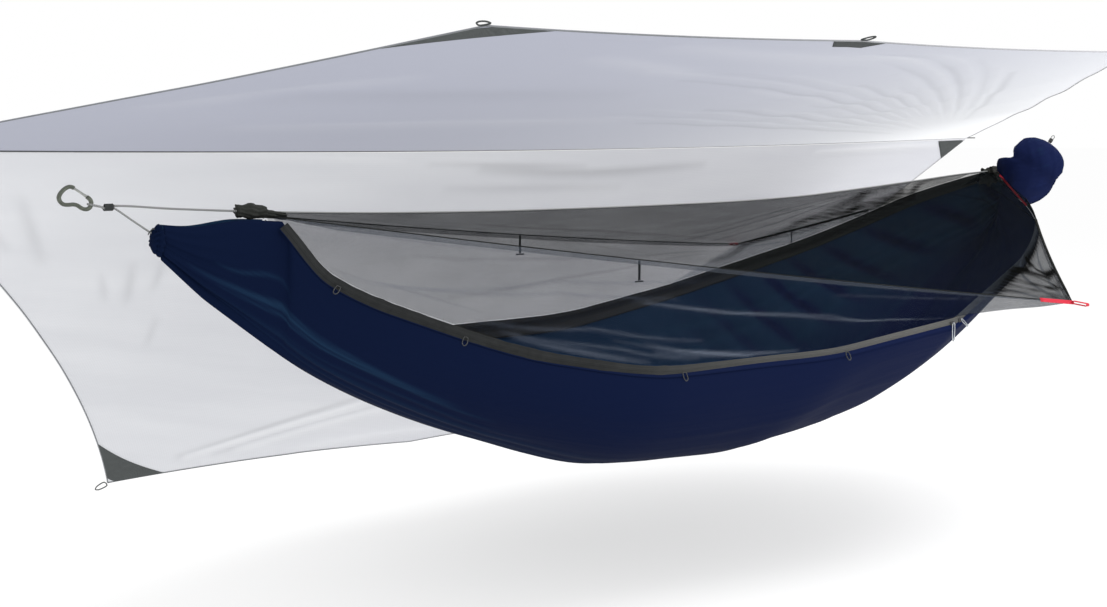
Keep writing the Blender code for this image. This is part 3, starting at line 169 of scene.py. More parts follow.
RIM = steady(scaled(RIM_ROWS), (6, 8))
KEEL = steady([(a * BED_LENGTH / 2, -d * KEEL_DEPTH) for a, d in KEEL_ROWS])
FLAT = steady([(a * BED_LENGTH / 2, k) for a, k in FLAT_ROWS])
RIDGE = steady(RIDGE_ROWS)
BOW = steady(NET_BOW)
STATIONS = [scaled(RIM_ROWS)[0][0]]
for (s0, *_), (s1, *_), n in zip(scaled(RIM_ROWS), scaled(RIM_ROWS)[1:], RIM_SPANS):
    STATIONS += [s0 + (s1 - s0) * (k + 1) / n for k in range(n)]


def station(x):
    i = max(0, min(len(STATIONS) - 2, int(x)))
    return STATIONS[i] + (STATIONS[i + 1] - STATIONS[i]) * (x - i)


def rounded(points, steps, cyclic=False):
    n = len(points)
    out = []
    for i in range(n if cyclic else n - 1):
        if cyclic:
            a, b, c, d = (points[(i + k) % n] for k in (-1, 0, 1, 2))
        else:
            a, b, c, d = (points[max(0, min(n - 1, i + k))] for k in (-1, 0, 1, 2))
        for k in range(steps):
            t = k / steps
            out.append(
                0.5
                * (2 * b + (c - a) * t + (2 * a - 5 * b + 4 * c - d) * t**2 + (3 * b - a - 3 * c + d) * t**3)
            )
    return out if cyclic else [*out, points[-1].copy()]


def wobble(seed):
    """A smooth wandering function of x, the same on each run."""
    r = np.random.default_rng(seed)
    waves = [
        (r.uniform(0.6, 1.4) * f, r.uniform(0, 6.28), 1 / (1 + i))
        for i, f in enumerate((1, 2.1, 3.9, 7.3))
    ]
    return lambda x: sum(a * np.sin(f * x + p) for f, p, a in waves) / 2.1


def crease_field(u, v, lines, long, wide):
    """How much denser cloth is at shares (u, v), from creases given as (points, width, amount)."""
    found = np.zeros_like(u)
    for points, width, amount in lines:
        nearest, place_on = np.full_like(u, 9.0), np.zeros_like(u)
        for k, ((u0, v0), (u1, v1)) in enumerate(zip(points, points[1:])):
            x, y = (u - u0) * long, (v - v0) * wide
            dx, dy = (u1 - u0) * long, (v1 - v0) * wide
            t = np.clip((x * dx + y * dy) / (dx * dx + dy * dy), 0.0, 1.0)
            d = np.hypot(x - dx * t, y - dy * t)
            place_on = np.where(d < nearest, (k + t) / (len(points) - 1), place_on)
            nearest = np.minimum(nearest, d)
        fade = 0.35 + 0.65 * np.sin(math.pi * (0.08 + 0.84 * place_on))
        found += amount * np.exp(-((nearest / width) ** 2)) * fade
    return found


# Nodes for materials. A wave texture at scale 1 repeats every WAVE_STEP.
WAVE_STEP = 0.31416
INK = (0.0, 0.0, 0.0)


def shaded(colour, times):
    return tuple(min(1.0, c * times) for c in colour)


class Finish:
    """A Principled material and a few short ways to wire textures into it."""

    def __init__(self, name, colour, roughness=0.6, metallic=0.0):
        self.m = bpy.data.materials.new(name)
        self.m.use_nodes = True
        self.t = self.m.node_tree
        self.p = self.t.nodes["Principled BSDF"]
        self.p.inputs["Base Color"].default_value = (*colour, 1)
        self.p.inputs["Roughness"].default_value = roughness
        self.p.inputs["Metallic"].default_value = metallic

    def set(self, **values):
        for k, v in values.items():
            self.p.inputs[k.replace("_", " ")].default_value = v
        return self

    def node(self, kind, ins=(), **attrs):
        n = self.t.nodes.new("ShaderNode" + kind)
        for k, v in attrs.items():
            setattr(n, k, v)
        for k, v in dict(ins).items():
            if hasattr(v, "is_output"):
                self.t.links.new(v, n.inputs[k])
            else:
                n.inputs[k].default_value = v
        return n

    def math(self, op, a, b=0.0, clamp=False):
        return self.node("Math", {0: a, 1: b}, operation=op, use_clamp=clamp).outputs[0]

    def coords(self, scale=(1, 1, 1), turn=0.0, space="UV"):
        c = self.node("TexCoord").outputs[space]
        return self.node("Mapping", {"Vector": c, "Scale": scale, "Rotation": (0, 0, turn)}).outputs[0]

    def noise(self, scale, detail, at):
        return self.node("TexNoise", {"Scale": scale, "Detail": detail, "Vector": at}).outputs[0]

    def wave(self, pitch, axis="X", at=None):
        """0 to 1 and back once in each pitch, along one axis."""
        at = at if at is not None else self.node("TexCoord").outputs["UV"]
        ins = {"Vector": at, "Scale": WAVE_STEP / pitch}
        return self.node("TexWave", ins, bands_direction=axis).outputs["Fac"]

    def lattice(self, pitch, low, high):
        """Lines both ways, a pitch apart."""
        one, two = (self.ramp(self.wave(pitch, axis), low, high) for axis in ("X", "Y"))
        return self.math("MAXIMUM", one, two)

    def along(self, first, last):
        """0 to 1 from one place to another along the hammock."""
        x = self.node("SeparateXYZ", {0: self.node("TexCoord").outputs["Object"]}).outputs[0]
        return self.ramp(x, first, last)

    def fold(self):
        return self.node("Attribute", attribute_name="fold").outputs["Fac"]

    def ramp(self, fac, low, high):
        """0 to 1, as fac goes from low to high."""
        return self.node("MapRange", {"Value": fac, "From Min": low, "From Max": high}).outputs[0]

    def spread(self, fac, low, high):
        """Low to high, as fac goes from 0 to 1."""
        return self.node("MapRange", {"Value": fac, "To Min": low, "To Max": high}).outputs[0]

    def mix(self, fac, a, b):
        one, two = (v if hasattr(v, "is_output") else (*v, 1) for v in (a, b))
        return self.node("Mix", {0: fac, 6: one, 7: two}, data_type="RGBA").outputs[2]

    def to(self, socket, value):
        self.t.links.new(value, self.p.inputs[socket])
        return self

    def surface(self, shader):
        self.t.links.new(shader, self.t.nodes["Material Output"].inputs["Surface"])

    def bump(self, height, distance, strength=1.0, after=None):
        ins = {"Height": height, "Distance": distance, "Strength": strength}
        if after is not None:
            ins["Normal"] = after
        out = self.node("Bump", ins).outputs[0]
        self.t.links.new(out, self.p.inputs["Normal"])
        return out


def ripstop(name, colours, roughness, cell, streak, wrinkle, power=1.0, streak_highlight=0.0, deep=0.55):
    """Thin woven nylon: a fine plain weave, a ripstop grid and soft creases. Its colour carries painted
    light: painted highlight on crease crests and on long streaks, painted shade in crease hollows, and a
    painted shading along the hammock.

    colours are its own, its painted highlight, and the one its painted shading reaches at its right end.
    """
    colour, second, painted_far_end = colours
    f = Finish(name, colour, roughness)
    weave = f.math("MULTIPLY", f.wave(0.0009, "X"), f.wave(0.0009, "Y"))
    lines = f.lattice(cell, 0.93, 1.0)
    long = f.noise(1.0, 4.0, f.coords(streak))
    fine = f.noise(1.0, 5.0, f.coords(wrinkle))
    # Painted shading along the hammock: the colour goes over to the painted_far_end colour towards the right
    # end.
    shade = f.mix(f.math("POWER", f.along(0.3, 2.9), power), colour, painted_far_end)
    # Long streaks that follow the soft wrinkles' bump get the painted highlight.
    if streak_highlight:
        shade = f.mix(f.math("MULTIPLY", f.ramp(long, 0.4, 0.7), streak_highlight), shade, second)
    # The fold attribute gives a painted highlight on crease crests and, where negative, painted shade scaled
    # by deep.
    shade = f.mix(f.math("MULTIPLY", f.fold(), 1.0, True), shade, second)
    shade = f.mix(f.math("MULTIPLY", f.fold(), -deep, True), shade, INK)
    f.to("Base Color", f.mix(f.math("MULTIPLY", lines, 0.35), shade, f.mix(0.25, shade, INK)))
    f.to("Roughness", f.spread(fine, roughness - 0.08, roughness + 0.1))
    n = f.bump(fine, 0.004, 0.35)
    n = f.bump(long, 0.006, 0.3, n)
    f.bump(f.math("ADD", f.math("MULTIPLY", weave, 0.6), lines), 0.00012, 0.25, n)
    return f


def netting(name, colour, bright, hole, thread):
    """Mesh you see through: threads and holes, denser where a fold doubles it. There its colour also goes
    over to bright, which on the lower net is a painted highlight.
    """
    f = Finish(name, colour, 0.8)
    threads = f.lattice(0.0016, 0.55, 0.95)
    cloudy = f.ramp(f.noise(5.0, 3.0, f.coords((1.0, 3.0, 1.0))), 0.3, 0.7)
    uneven = f.math("MULTIPLY", f.spread(threads, hole, thread), f.spread(cloudy, 0.92, 1.08))
    f.to("Alpha", f.math("ADD", uneven, f.fold(), clamp=True))
    f.to("Base Color", f.mix(f.math("MULTIPLY", f.fold(), 3.0, clamp=True), colour, bright))
    f.bump(threads, 0.0002, 0.3)
    f.set(Specular_IOR_Level=0.0)
    return f


def webbing(name, colour, pitch=0.0012, painted_far_end=None, space="UV"):
    """Woven band: ribs across it, a herringbone and a little fuzz."""
    f = Finish(name, colour, 0.75)
    at = f.coords(space=space)
    ribs, bands = f.wave(pitch, "X", at), f.wave(pitch * 2.6, "Y", at)
    cross = f.math("ABSOLUTE", f.math("SUBTRACT", ribs, f.math("MULTIPLY", bands, 0.5)))
    worn = f.ramp(f.noise(60.0, 4.0, f.coords(space="Object")), 0.3, 0.75)
    base, light = colour, shaded(colour, 1.45)
    # The near tape is painted lighter towards its right end, where light falls on it, and painted darker over
    # a short stretch near that end as shade.
    if painted_far_end:
        base = f.mix(f.along(1.0, 1.85), colour, painted_far_end)
        base = f.mix(f.along(2.05, 2.15), base, shaded(colour, 0.3))
        light = f.mix(0.03, base, (0.7, 0.7, 0.7))
    # The weave's grooves, where cross is high, get painted shade.
    dark = f.mix(0.4, base, INK)
    f.to("Base Color", f.mix(cross, f.mix(f.math("MULTIPLY", worn, 0.5), base, light), dark))
    f.bump(cross, 0.0004, 0.8)
    f.set(Sheen_Weight=0.02, Sheen_Roughness=0.5, Specular_IOR_Level=0.08)
    return f


def braid(name, colour, pitch=0.004, space="UV"):
    """Braided cord: strands that cross at an angle round it."""
    f = Finish(name, colour, 0.75)
    one, two = (f.wave(pitch, "X", f.coords((1, 1, 1), turn, space)) for turn in (0.7, -0.7))
    cross = f.math("MAXIMUM", one, two)
    # The strands' crowns get a painted highlight and the grooves between them painted shade.
    f.to("Base Color", f.mix(f.ramp(cross, 0.5, 1.0), shaded(colour, 0.5), shaded(colour, 1.7)))
    f.bump(cross, 0.0005, 0.9)
    f.set(Sheen_Weight=0.15)
    return f


def plastic(name, colour):
    """Moulded plastic, fine-grained and rubbed paler in places."""
    f = Finish(name, colour, 0.42)
    grain = f.noise(900.0, 2.0, f.coords(space="Object"))
    f.to("Roughness", f.spread(grain, 0.34, 0.5))
    worn = f.ramp(f.noise(120.0, 4.0, f.coords(space="Object")), 0.55, 0.8)
    f.to("Base Color", f.mix(worn, colour, tuple(c * 1.8 + 0.01 for c in colour)))
    f.bump(grain, 0.0001, 0.3)
    return f


def anodised(name, colour):
    """Anodised metal, brushed across and rubbed paler in places."""
    f = Finish(name, colour, 0.34, 0.9)
    grain = f.noise(1.0, 4.0, f.coords((60, 900, 60), space="Object"))
    f.to("Roughness", f.spread(grain, 0.26, 0.46))
    worn = f.ramp(f.noise(90.0, 5.0, f.coords(space="Object")), 0.5, 0.75)
    f.to("Base Color", f.mix(worn, colour, shaded(colour, 1.5)))
    f.bump(grain, 0.0001, 0.25)
    return f


# The navy's painted highlight is a teal crest colour, and its painted shading makes it lighter and bluer
# towards the right end.
NAVY = ripstop(
    "navy", ((0.0030, 0.0072, 0.0260), (0.0100, 0.0290, 0.0640), (0.0075, 0.0125, 0.0520)),
    0.7, 0.005, (0.9, 9.0, 1.0), (3.0, 40.0, 1.0), deep=0.65,
)
# The fly's painted highlight is its crest and streak colour, and its painted shading goes a little darker and
# bluer towards the right end.
FLY = ripstop(
    "fly", ((0.68, 0.69, 0.72), (0.84, 0.85, 0.87), (0.66, 0.665, 0.71)),
    0.6, 0.006, (1.2, 6.0, 1.0), (9.0, 26.0, 1.0), streak_highlight=0.35,
)
# The porch is painted much darker towards its left end, a painted shade that lifts steeply to the right; its
# crests get a painted highlight.
PORCH = ripstop(
    "fly_porch", ((0.385, 0.398, 0.465), (0.64, 0.65, 0.68), (0.80, 0.81, 0.82)),
    0.6, 0.006, (1.2, 6.0, 1.0), (9.0, 26.0, 1.0), power=2.2, deep=0.61,
)
NAVY.set(Specular_IOR_Level=0.02)
FLY.set(Specular_IOR_Level=0.05)
PORCH.set(Specular_IOR_Level=0.05)
# The lower net's second colour is a painted highlight along its creases.
NET_LOW = netting("net_lower", (0.0075, 0.0100, 0.0165), (0.085, 0.100, 0.130), 0.22, 0.50)
NET_UP = netting("net_upper", (0.0058, 0.0070, 0.0078), (0.0030, 0.0032, 0.0030), 0.43, 0.72)
NET_THICK = netting("net_hem", (0.045, 0.052, 0.065), (0.08, 0.09, 0.10), 0.42, 0.74)
TAPE = webbing("zip_tape", (0.022, 0.0235, 0.024), 0.0016, painted_far_end=(0.125, 0.125, 0.120))
TAPE_FAR = webbing("zip_tape_far", (0.034, 0.034, 0.031), 0.0016)
WHIP = webbing("whipping", (0.050, 0.054, 0.054), 0.0012, space="Object")
PATCH = webbing("patch", (0.090, 0.098, 0.098), 0.0018)
SEAM = webbing("ridge_webbing", (0.100, 0.103, 0.112), 0.0014)
BINDING = webbing("binding", (0.012, 0.013, 0.011), 0.0014)
CORAL = webbing("coral", (0.72, 0.045, 0.075), 0.0013)
CORD = braid("cord", (0.15, 0.16, 0.16), space="Object")
PULL = braid("pull_cord", (0.34, 0.36, 0.38), 0.002, space="Object")
LOOP = braid("loop_cord", (0.020, 0.022, 0.022), 0.002, space="Object")
TIE = webbing("tie_webbing", (0.060, 0.065, 0.065), 0.0014, space="Object")
STRAP = webbing("toggle_webbing", (0.030, 0.032, 0.032), 0.0012, space="Object")
METAL = anodised("metal", (0.11, 0.12, 0.10))
GATE = anodised("gate_metal", (0.30, 0.31, 0.29))
BRAID = braid("braided_cord", (0.17, 0.175, 0.175), 0.0035)
BLACK = plastic("black_plastic", (0.018, 0.018, 0.019))


def fade_along(f, first, last, colour):
    """Takes a material's colour over to another one along the hammock."""
    own = f.p.inputs["Base Color"].links[0].from_socket
    f.to("Base Color", f.mix(f.along(first, last), own, colour))


def let_light_through(f, share):
    """Turns a cloth's surface partly into one that glows with the light behind it."""
    back = f.node("BsdfTranslucent", {"Color": f.p.inputs["Base Color"].links[0].from_socket})
    f.surface(f.node("MixShader", {0: share, 1: f.p.outputs[0], 2: back.outputs[0]}).outputs[0])


# The ridge seam is painted lighter towards its right end, a painted highlight.
fade_along(SEAM, 0.6, 1.9, (0.46, 0.46, 0.49))
let_light_through(FLY, 0.6)
let_light_through(PORCH, 0.65)


# Making pieces


def finish_piece(obj, mat, nodes=(), thick=0.0, body="hammock"):
    obj.data.materials.append(mat.m)
    bpy.context.scene.collection.objects.link(obj)
    if thick:
        s = obj.modifiers.new("thickness", "SOLIDIFY")
        s.thickness = thick
        s.offset = 0.0
    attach(obj, body)
    if nodes:
        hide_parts(*nodes)
    return obj


def grid(
    name, rows, mat, nodes=(), thick=0.0, wrap=False, caps=False, fold=None, body="hammock"
):
    """A smooth sheet or tube through rows of points, with UVs in metres."""
    co = np.array([[tuple(p) for p in r] for r in rows], float)
    n, m = co.shape[:2]
    du = np.linalg.norm(np.diff(co, axis=0), axis=2)
    u = np.vstack([np.zeros((1, m)), np.cumsum(du, axis=0)])
    ring = np.concatenate([co, co[:, :1]], axis=1) if wrap else co
    dv = np.linalg.norm(np.diff(ring, axis=1), axis=2)
    v = np.hstack([np.zeros((n, 1)), np.cumsum(dv, axis=1)])
    faces, uvs = [], []
    cells = m if wrap else m - 1
    for i in range(n - 1):
        for j in range(cells):
            k = (j + 1) % m
            faces.append((i * m + j, i * m + k, (i + 1) * m + k, (i + 1) * m + j))
            uvs += [
                (u[i, j], v[i, j]), (u[i, k], v[i, j + 1]),
                (u[i + 1, k], v[i + 1, j + 1]), (u[i + 1, j], v[i + 1, j]),
            ]
    points = co.reshape(-1, 3)
    if caps:
        for i, order in ((0, -1), (n - 1, 1)):
            points = np.vstack([points, co[i].mean(axis=0)])
            c = len(points) - 1
            for j in range(m):
                a, b = i * m + j, i * m + (j + 1) % m
                faces.append((a, c, b) if order < 0 else (a, b, c))
                uvs += [(0.0, 0.0), (0.001, 0.0), (0.0, 0.001)]
    mesh = bpy.data.meshes.new(name)
    mesh.from_pydata(points.tolist(), [], faces)
    layer = mesh.uv_layers.new(name="UVMap")
    layer.data.foreach_set("uv", np.array(uvs, np.float32).ravel())
    if fold is not None:
        values = np.array(fold, np.float32).ravel()
        mesh.attributes.new("fold", "FLOAT", "POINT").data.foreach_set("value", values)
    mesh.shade_smooth()
    mesh.validate()
    return finish_piece(bpy.data.objects.new(name, mesh), mat, nodes, thick, body)


def frames(points, cyclic=False):
    """A pair of directions across a line of points, turning as little as they can."""
    n = len(points)
    out, side = [], None
    for i in range(n):
        a = points[(i - 1) % n] if cyclic else points[max(0, i - 1)]
        b = points[(i + 1) % n] if cyclic else points[min(n - 1, i + 1)]
        t = (b - a).normalized()
        if side is None:
            side = t.orthogonal().normalized()
        side = (side - t * side.dot(t)).normalized()
        out.append((side.copy(), t.cross(side)))
    return out


def cord(
    name, points, radius, mat, nodes=(), cyclic=False, sides=8, sizes=None, squash=1.0,
    body="hammock",
):
    """A round cord or rod. sizes gives the radius at each point as shares of radius."""
    pts = list(points) + ([points[0]] if cyclic else [])
    base = frames(points, cyclic)
    base = base + ([base[0]] if cyclic else [])
    rows = []
    for i, (p, (a, b)) in enumerate(zip(pts, base)):
        r = radius * (sizes[i % len(sizes)] if sizes else 1.0)
        rows.append([p + a * (r * math.cos(q)) + b * (r * squash * math.sin(q)) for q in around(sides)])
    return grid(name, rows, mat, nodes, wrap=True, caps=not cyclic, body=body)


STRAP_SECTION = closed(((-1, 0.0), (-0.97, 0.8), (-0.9, 1.0), (-0.5, 0.9), (0, 0.85)))


def band(name, points, across, out, width, thick, mat, nodes=()):
    """A flat strap. across and out give its width and thickness directions at each point."""
    rows = []
    for p, a, o in zip(points, across, out):
        rows.append([p + a * (x * width / 2) + o * (y * thick / 2) for x, y in STRAP_SECTION])
    return grid(name, rows, mat, nodes, wrap=True, caps=True)


# The bed


def rim_frame(side, a):
    e = 0.0014
    p, q = ((a + d, *RIM(a + d)) for d in (-e, e))
    t = Vector((q[0] - p[0], side * (q[1] - p[1]), q[2] - p[2])).normalized()
    up = Vector((0, -side * math.sin(TAPE_LEAN), math.cos(TAPE_LEAN)))
    up = (up - up.dot(t) * t).normalized()
    out = t.cross(up)
    return t, up, -out if out.y * side < 0 else out


def rim(side, a, up_by, out_by=0.0):
    wide, height = RIM(a)
    t, up, out = rim_frame(side, a)
    return Vector((a, side * wide, height)) + up * up_by + out * out_by


def edge_curves(side):
    """The bed's top edge past the tape's left end and past its right end."""
    drop = TAPE_WIDTH / 2 + SEAM_INSET
    left, right = rim(side, STATIONS[0], TAPE_WIDTH / 2), rim(side, STATIONS[-1], -drop)
    return (
        steady([*scaled(LEFT_EDGE), (left.x, abs(left.y), left.z)]),
        steady([(right.x, abs(right.y), right.z), *scaled(RIGHT_EDGE)]),
    )


EDGE = {side: edge_curves(side) for side in (-1, 1)}


def bed_edge(side, a):
    """The bed's top edge. It climbs past the tape's left end to close against the net."""
    if STATIONS[0] <= a <= STATIONS[-1]:
        climb = max(0.0, 1 - (a - STATIONS[0]) / 0.018)
        return rim(side, a, (TAPE_WIDTH + SEAM_INSET) * climb - TAPE_WIDTH / 2 - SEAM_INSET, -0.001 * climb)
    wide, height = EDGE[side][0 if a < 0 else 1](a)
    return Vector((a, side * wide, height))


# Long soft folds: across, start, end, width across, height and how much painted highlight its crest gets
BED_FOLDS = (
    (-0.52, -1.28, -0.74, 0.018, 0.0035, 0.9),
    (-0.48, -1.22, -0.66, 0.012, 0.0030, 0.7),
    (-0.56, -1.20, -0.86, 0.010, 0.0025, 0.5),
    (-0.68, -1.22, -1.06, 0.014, 0.0025, 0.5),
    (-0.30, -1.30, -0.30, 0.030, 0.0040, 0.35),
    (-0.20, -1.30, 0.05, 0.022, 0.0035, 0.25),
    (-0.38, -1.10, -0.50, 0.012, 0.0025, 0.3),
    (-0.62, -0.50, 0.60, 0.030, 0.0025, 0.0),
    (-0.12, -1.25, 0.60, 0.030, 0.0030, 0.15),
    (0.30, -1.30, 0.10, 0.030, 0.0040, 0.3),
    (0.52, -1.25, 0.50, 0.028, 0.0035, 0.3),
    (-0.30, 0.50, 1.32, 0.030, 0.0045, 0.0),
    (-0.55, 0.65, 1.32, 0.028, 0.0040, 0.0),
    (0.62, 0.25, 1.32, 0.024, 0.0050, 0.4),
    (0.74, 0.10, 1.30, 0.020, 0.0040, 0.4),
    (0.44, 0.30, 1.32, 0.026, 0.0045, 0.3),
    (0.20, 0.40, 1.32, 0.030, 0.0040, 0.3),
)
HALF = BED_LENGTH / 2 * 0.985
crease = wobble(3)


def ripple(a, across):
    """The cross folds of the bed's slack right part."""
    return math.sin(a * 62 + across * 7 + 2 * crease(a * 2))


def folds_at(a, across):
    for c, first, last, width, high, lift in BED_FOLDS:
        if first < a < last and abs(across - c) < 0.15:
            t = (a - first) / (last - first)
            line = c + 0.03 * math.sin(6 * t + c * 9)
            yield high, lift, math.sin(math.pi * t) ** 0.7 * bell((across - line) / width)


def painted_bed_light(a, across):
    """Painted light on the bed here: painted highlight on fold crests, a painted lighter far side, and
    painted shade in the troughs of the right part's cross folds.
    """
    found = sum(lift * window for _, lift, window in folds_at(a, across))
    # The far side, seen from inside, gets a painted lighter tone.
    found += 0.85 * eased((across - 0.05) / 0.45)
    # The troughs of the right part's cross folds get painted shade.
    if across > 0.3 and a > 0.4:
        inside = math.sin(math.pi * min(1, (across - 0.3) / 0.7)) * min(1, (a - 0.4) / 0.3)
        found -= 1.5 * max(0.0, ripple(a, across)) ** 2 * inside
    return found


def bed_point(a, across):
    """A place on the bed's cloth. across goes from -1 at the near edge to 1 at the far one."""
    side = -1 if across < 0 else 1
    edge, keel = bed_edge(side, a), KEEL(a)[0]
    turn, flat = abs(across) * math.pi / 2, FLAT(a)[0]
    wide = abs(edge.y) * (math.sin(turn) + (abs(across) - math.sin(turn)) * flat)
    deep = edge.z - (edge.z - keel) * (math.cos(turn) + (1 - abs(across) - math.cos(turn)) * flat)
    ends = HALF - abs(a)
    fade = math.exp(-((ends / PLEAT_REACH) ** 2) * 4)
    room = min(1.0, abs(edge.z - keel) / KEEL_DEPTH * 5)
    middle = math.cos(across * math.pi / 2) ** 2
    push = PLEAT_DEPTH * (fade + 0.15) * math.cos(across * math.pi * BED_PLEATS) * middle
    near_end = bell(ends / 0.16)
    push += 0.0032 * near_end * math.cos(across * math.pi * 17 + 1.7 * crease(a * 3)) * (0.3 + middle)
    for high, _, window in folds_at(a, across):
        push += high * window
    if across > 0.25 and a > 0.0:
        window = math.sin(math.pi * min(1, (across - 0.25) / 0.75)) * min(1, a / 0.4)
        push += 0.0042 * window * ripple(a, across)
    out = Vector((0.0, side * math.sin(turn), -math.cos(turn)))
    shift = (edge.x - a) * abs(across)
    return Vector((a + shift, side * wide, deep)) + out * push * room


def spaced(first, last, n, ends=0.0):
    """n + 1 places from first to last, closer at the ends."""
    out = []
    for i in range(n + 1):
        t = i / n
        out.append(first + (last - first) * (t - ends * math.sin(2 * math.pi * t) / (2 * math.pi)))
    return out


ALONGS, ACROSSES = spaced(-HALF, HALF, 230, 0.6), spaced(-1, 1, 110)
rows = [[place(*bed_point(a, x)) for x in ACROSSES] for a in ALONGS]
# The bed's painted highlight and shade, carried in its fold attribute.
bed_painted_light = [[painted_bed_light(a, x) for x in ACROSSES] for a in ALONGS]
bed = grid("bed_cloth", rows, NAVY, ["hammock_bed"], 0.0009, fold=bed_painted_light)

# Gathered ends with their bindings. A ring has its share of the length and of the full size.
GATHER_LENGTH, GATHER_WIDE, GATHER_HIGH = 0.019, 0.018, 0.026
GATHER_RINGS = (
    (0, 1.20), (0.1, 1.20), (0.25, 1.14), (0.42, 1.04), (0.55, 0.90), (0.7, 0.93), (0.86, 0.84),
    (1.0, 0.60), (1.04, 0.28),
)


def make_gather(name, facing):
    """Makes one end, and returns how far out it ends and its middle's height."""
    end = facing * HALF
    middle = (bed_edge(1, end).z + KEEL(end)[0]) / 2
    start = end + facing * 0.0005
    w = wobble(11 if facing < 0 else 12)
    rows = []
    for step, size in GATHER_RINGS:
        ring = []
        for t in around(84):
            pleat = 0.0021 * math.cos(13 * t + 1.5 * w(t * 2)) + 0.0016 * w(5 * t + 3 * step)
            along = start + facing * (step * GATHER_LENGTH + 0.0016 * w(4 * t))
            y, z = GATHER_WIDE * size + pleat, GATHER_HIGH * size + pleat
            ring.append(place(along, y * math.cos(t), middle + z * math.sin(t)))
        rows.append(ring)
    grid(name, rows, NAVY, [name], wrap=True, caps=True)
    waist = start + facing * 0.0108
    ring = [place(waist, 0.0172 * math.cos(t), middle + 0.0246 * math.sin(t)) for t in around(48)]
    cord(f"{name}_binding", ring, 0.0010, NAVY, cyclic=True)
    knot = place(start + facing * 0.014, -0.006, middle + 0.024)
    tail = [knot + Vector((facing * 0.004 * k, -0.0012 * k, -0.0009 * k * k + 0.001 * k)) for k in range(5)]
    cord(f"{name}_tail", tail, 0.0011, WHIP)
    return start + facing * GATHER_LENGTH, middle


gathers = {f: make_gather(n, f) for n, f in (("left_gather", -1), ("right_gather", 1))}

# Zip tapes: a woven band with a coil down its middle
TAPE_SIDE = (
    (-1, 0), (-0.98, 0.9), (-0.9, 1.0), (-0.62, 0.8), (-0.34, 0.8), (-0.26, 1.5), (-0.12, 2.3), (0, 1.7),
)
TAPE_SECTION = [*mirrored(TAPE_SIDE), *((x, -1) for x in (0.9, 0.4, 0, -0.4, -0.9))]
FACING_DEPTH, FACING_CELLS = 0.024, 4


def tape_share(a):
    """How much of the tape's width shows above the bed's hem."""
    return 1.0 - 0.36 * eased((a + 0.75) / 0.7)


def make_tape(label, s, mat):
    """The band, its zip coil in the middle, and the bed's hem lapped over its lower edge."""
    w = wobble(21 + s)
    rows, hem = [], []
    for a in spaced(STATIONS[0] - 0.002, STATIONS[-1] + 0.004, 260, 0.3):
        at = min(max(a, STATIONS[0] + 0.002), STATIONS[-1] - 0.002)
        t, up, out = rim_frame(s, at)
        rough = 1 if a < -0.35 else 0.3
        sway = 0.0012 * math.sin(a * 46 + 2 * w(a * 5)) * rough
        width = TAPE_WIDTH * tape_share(a)
        pucker = 0.0016 * max(0.0, w(a * 26) + 0.3 * math.sin(a * 190)) * rough
        middle = rim(s, at, (TAPE_WIDTH - width) / 2) + out * sway + t * (a - at)
        row = []
        for x, y in TAPE_SECTION:
            high = x * width / 2 + (pucker if x > 0.9 else 0)
            row.append(place(*(middle + up * high + out * (y * TAPE_THICK / 2))))
        rows.append(row)
        low = rim(s, at, -TAPE_WIDTH / 2 - 0.0012) + t * (a - at)
        lap = TAPE_WIDTH - width + 0.0022
        row = []
        for k in (0, 0.15, 0.3, 0.5, 0.7, 0.85, 1):
            swell = 0.0012 + 0.0011 * math.sin(math.pi * min(1, k * 1.6))
            row.append(place(*(low + up * (lap * k) + out * swell)))
        hem.append(row)
    grid(f"{label}_tape_band", rows, mat, [f"{label}_zip_tape"], wrap=True, caps=True)
    grid(f"{label}_tape_hem", hem, NAVY, thick=0.0009)


def make_facing():
    """The far tape's facing, stitched down inside the bed."""
    rows = []
    for a in spaced(STATIONS[0] + 0.004, STATIONS[-1] - 0.004, 200):
        t = (a - STATIONS[0]) / (STATIONS[-1] - STATIONS[0])
        depth = FACING_DEPTH * math.sin(math.pi * t) ** 0.5
        way = (bed_point(a, 0.97) - rim(1, a, -TAPE_WIDTH / 2)).normalized()
        inner = rim(1, a, -TAPE_WIDTH / 2, -0.0034)
        line = [rim(1, a, 0.0105, -0.0042), rim(1, a, 0.0, -0.0044), inner]
        for k in range(1, FACING_CELLS + 1):
            line.append(inner + way * depth * k / FACING_CELLS + Vector((0, -0.0012 * k / FACING_CELLS, 0)))
        rows.append([place(*q) for q in line])
    grid("far_tape_facing", rows, TAPE_FAR, thick=0.0008)


make_tape("near", -1, TAPE)
make_tape("far", 1, TAPE_FAR)
make_facing()

# Bug net


def tape_top(s, a):
    return rim(s, a, TAPE_WIDTH / 2 + NET_GAP)


NET_START = {s: Vector((NET_LEFT[0], s * NET_LEFT[1], NET_LEFT[2])) for s in (-1, 1)}


def seam_left(s, t):
    p = NET_START[s].lerp(TIPS[s], t)
    p.z -= SEAM_SAG * 4 * t * (1 - t)
    return p


def seam_right(s, t):
    end = tape_top(s, STATIONS[MEET_STATION])
    end.z += SEAM_LIFT
    p = TIPS[s].lerp(end, t)
    p.y -= s * SEAM_SAG * 4 * t * (1 - t)
    return p


def seam(s, x):
    """x runs over the stations, from the net's left end to where the seam meets the tape."""
    if x <= TIP_STATION:
        return seam_left(s, (x - NET_LEFT_STATION) / (TIP_STATION - NET_LEFT_STATION))
    return seam_right(s, (x - TIP_STATION) / (MEET_STATION - TIP_STATION))


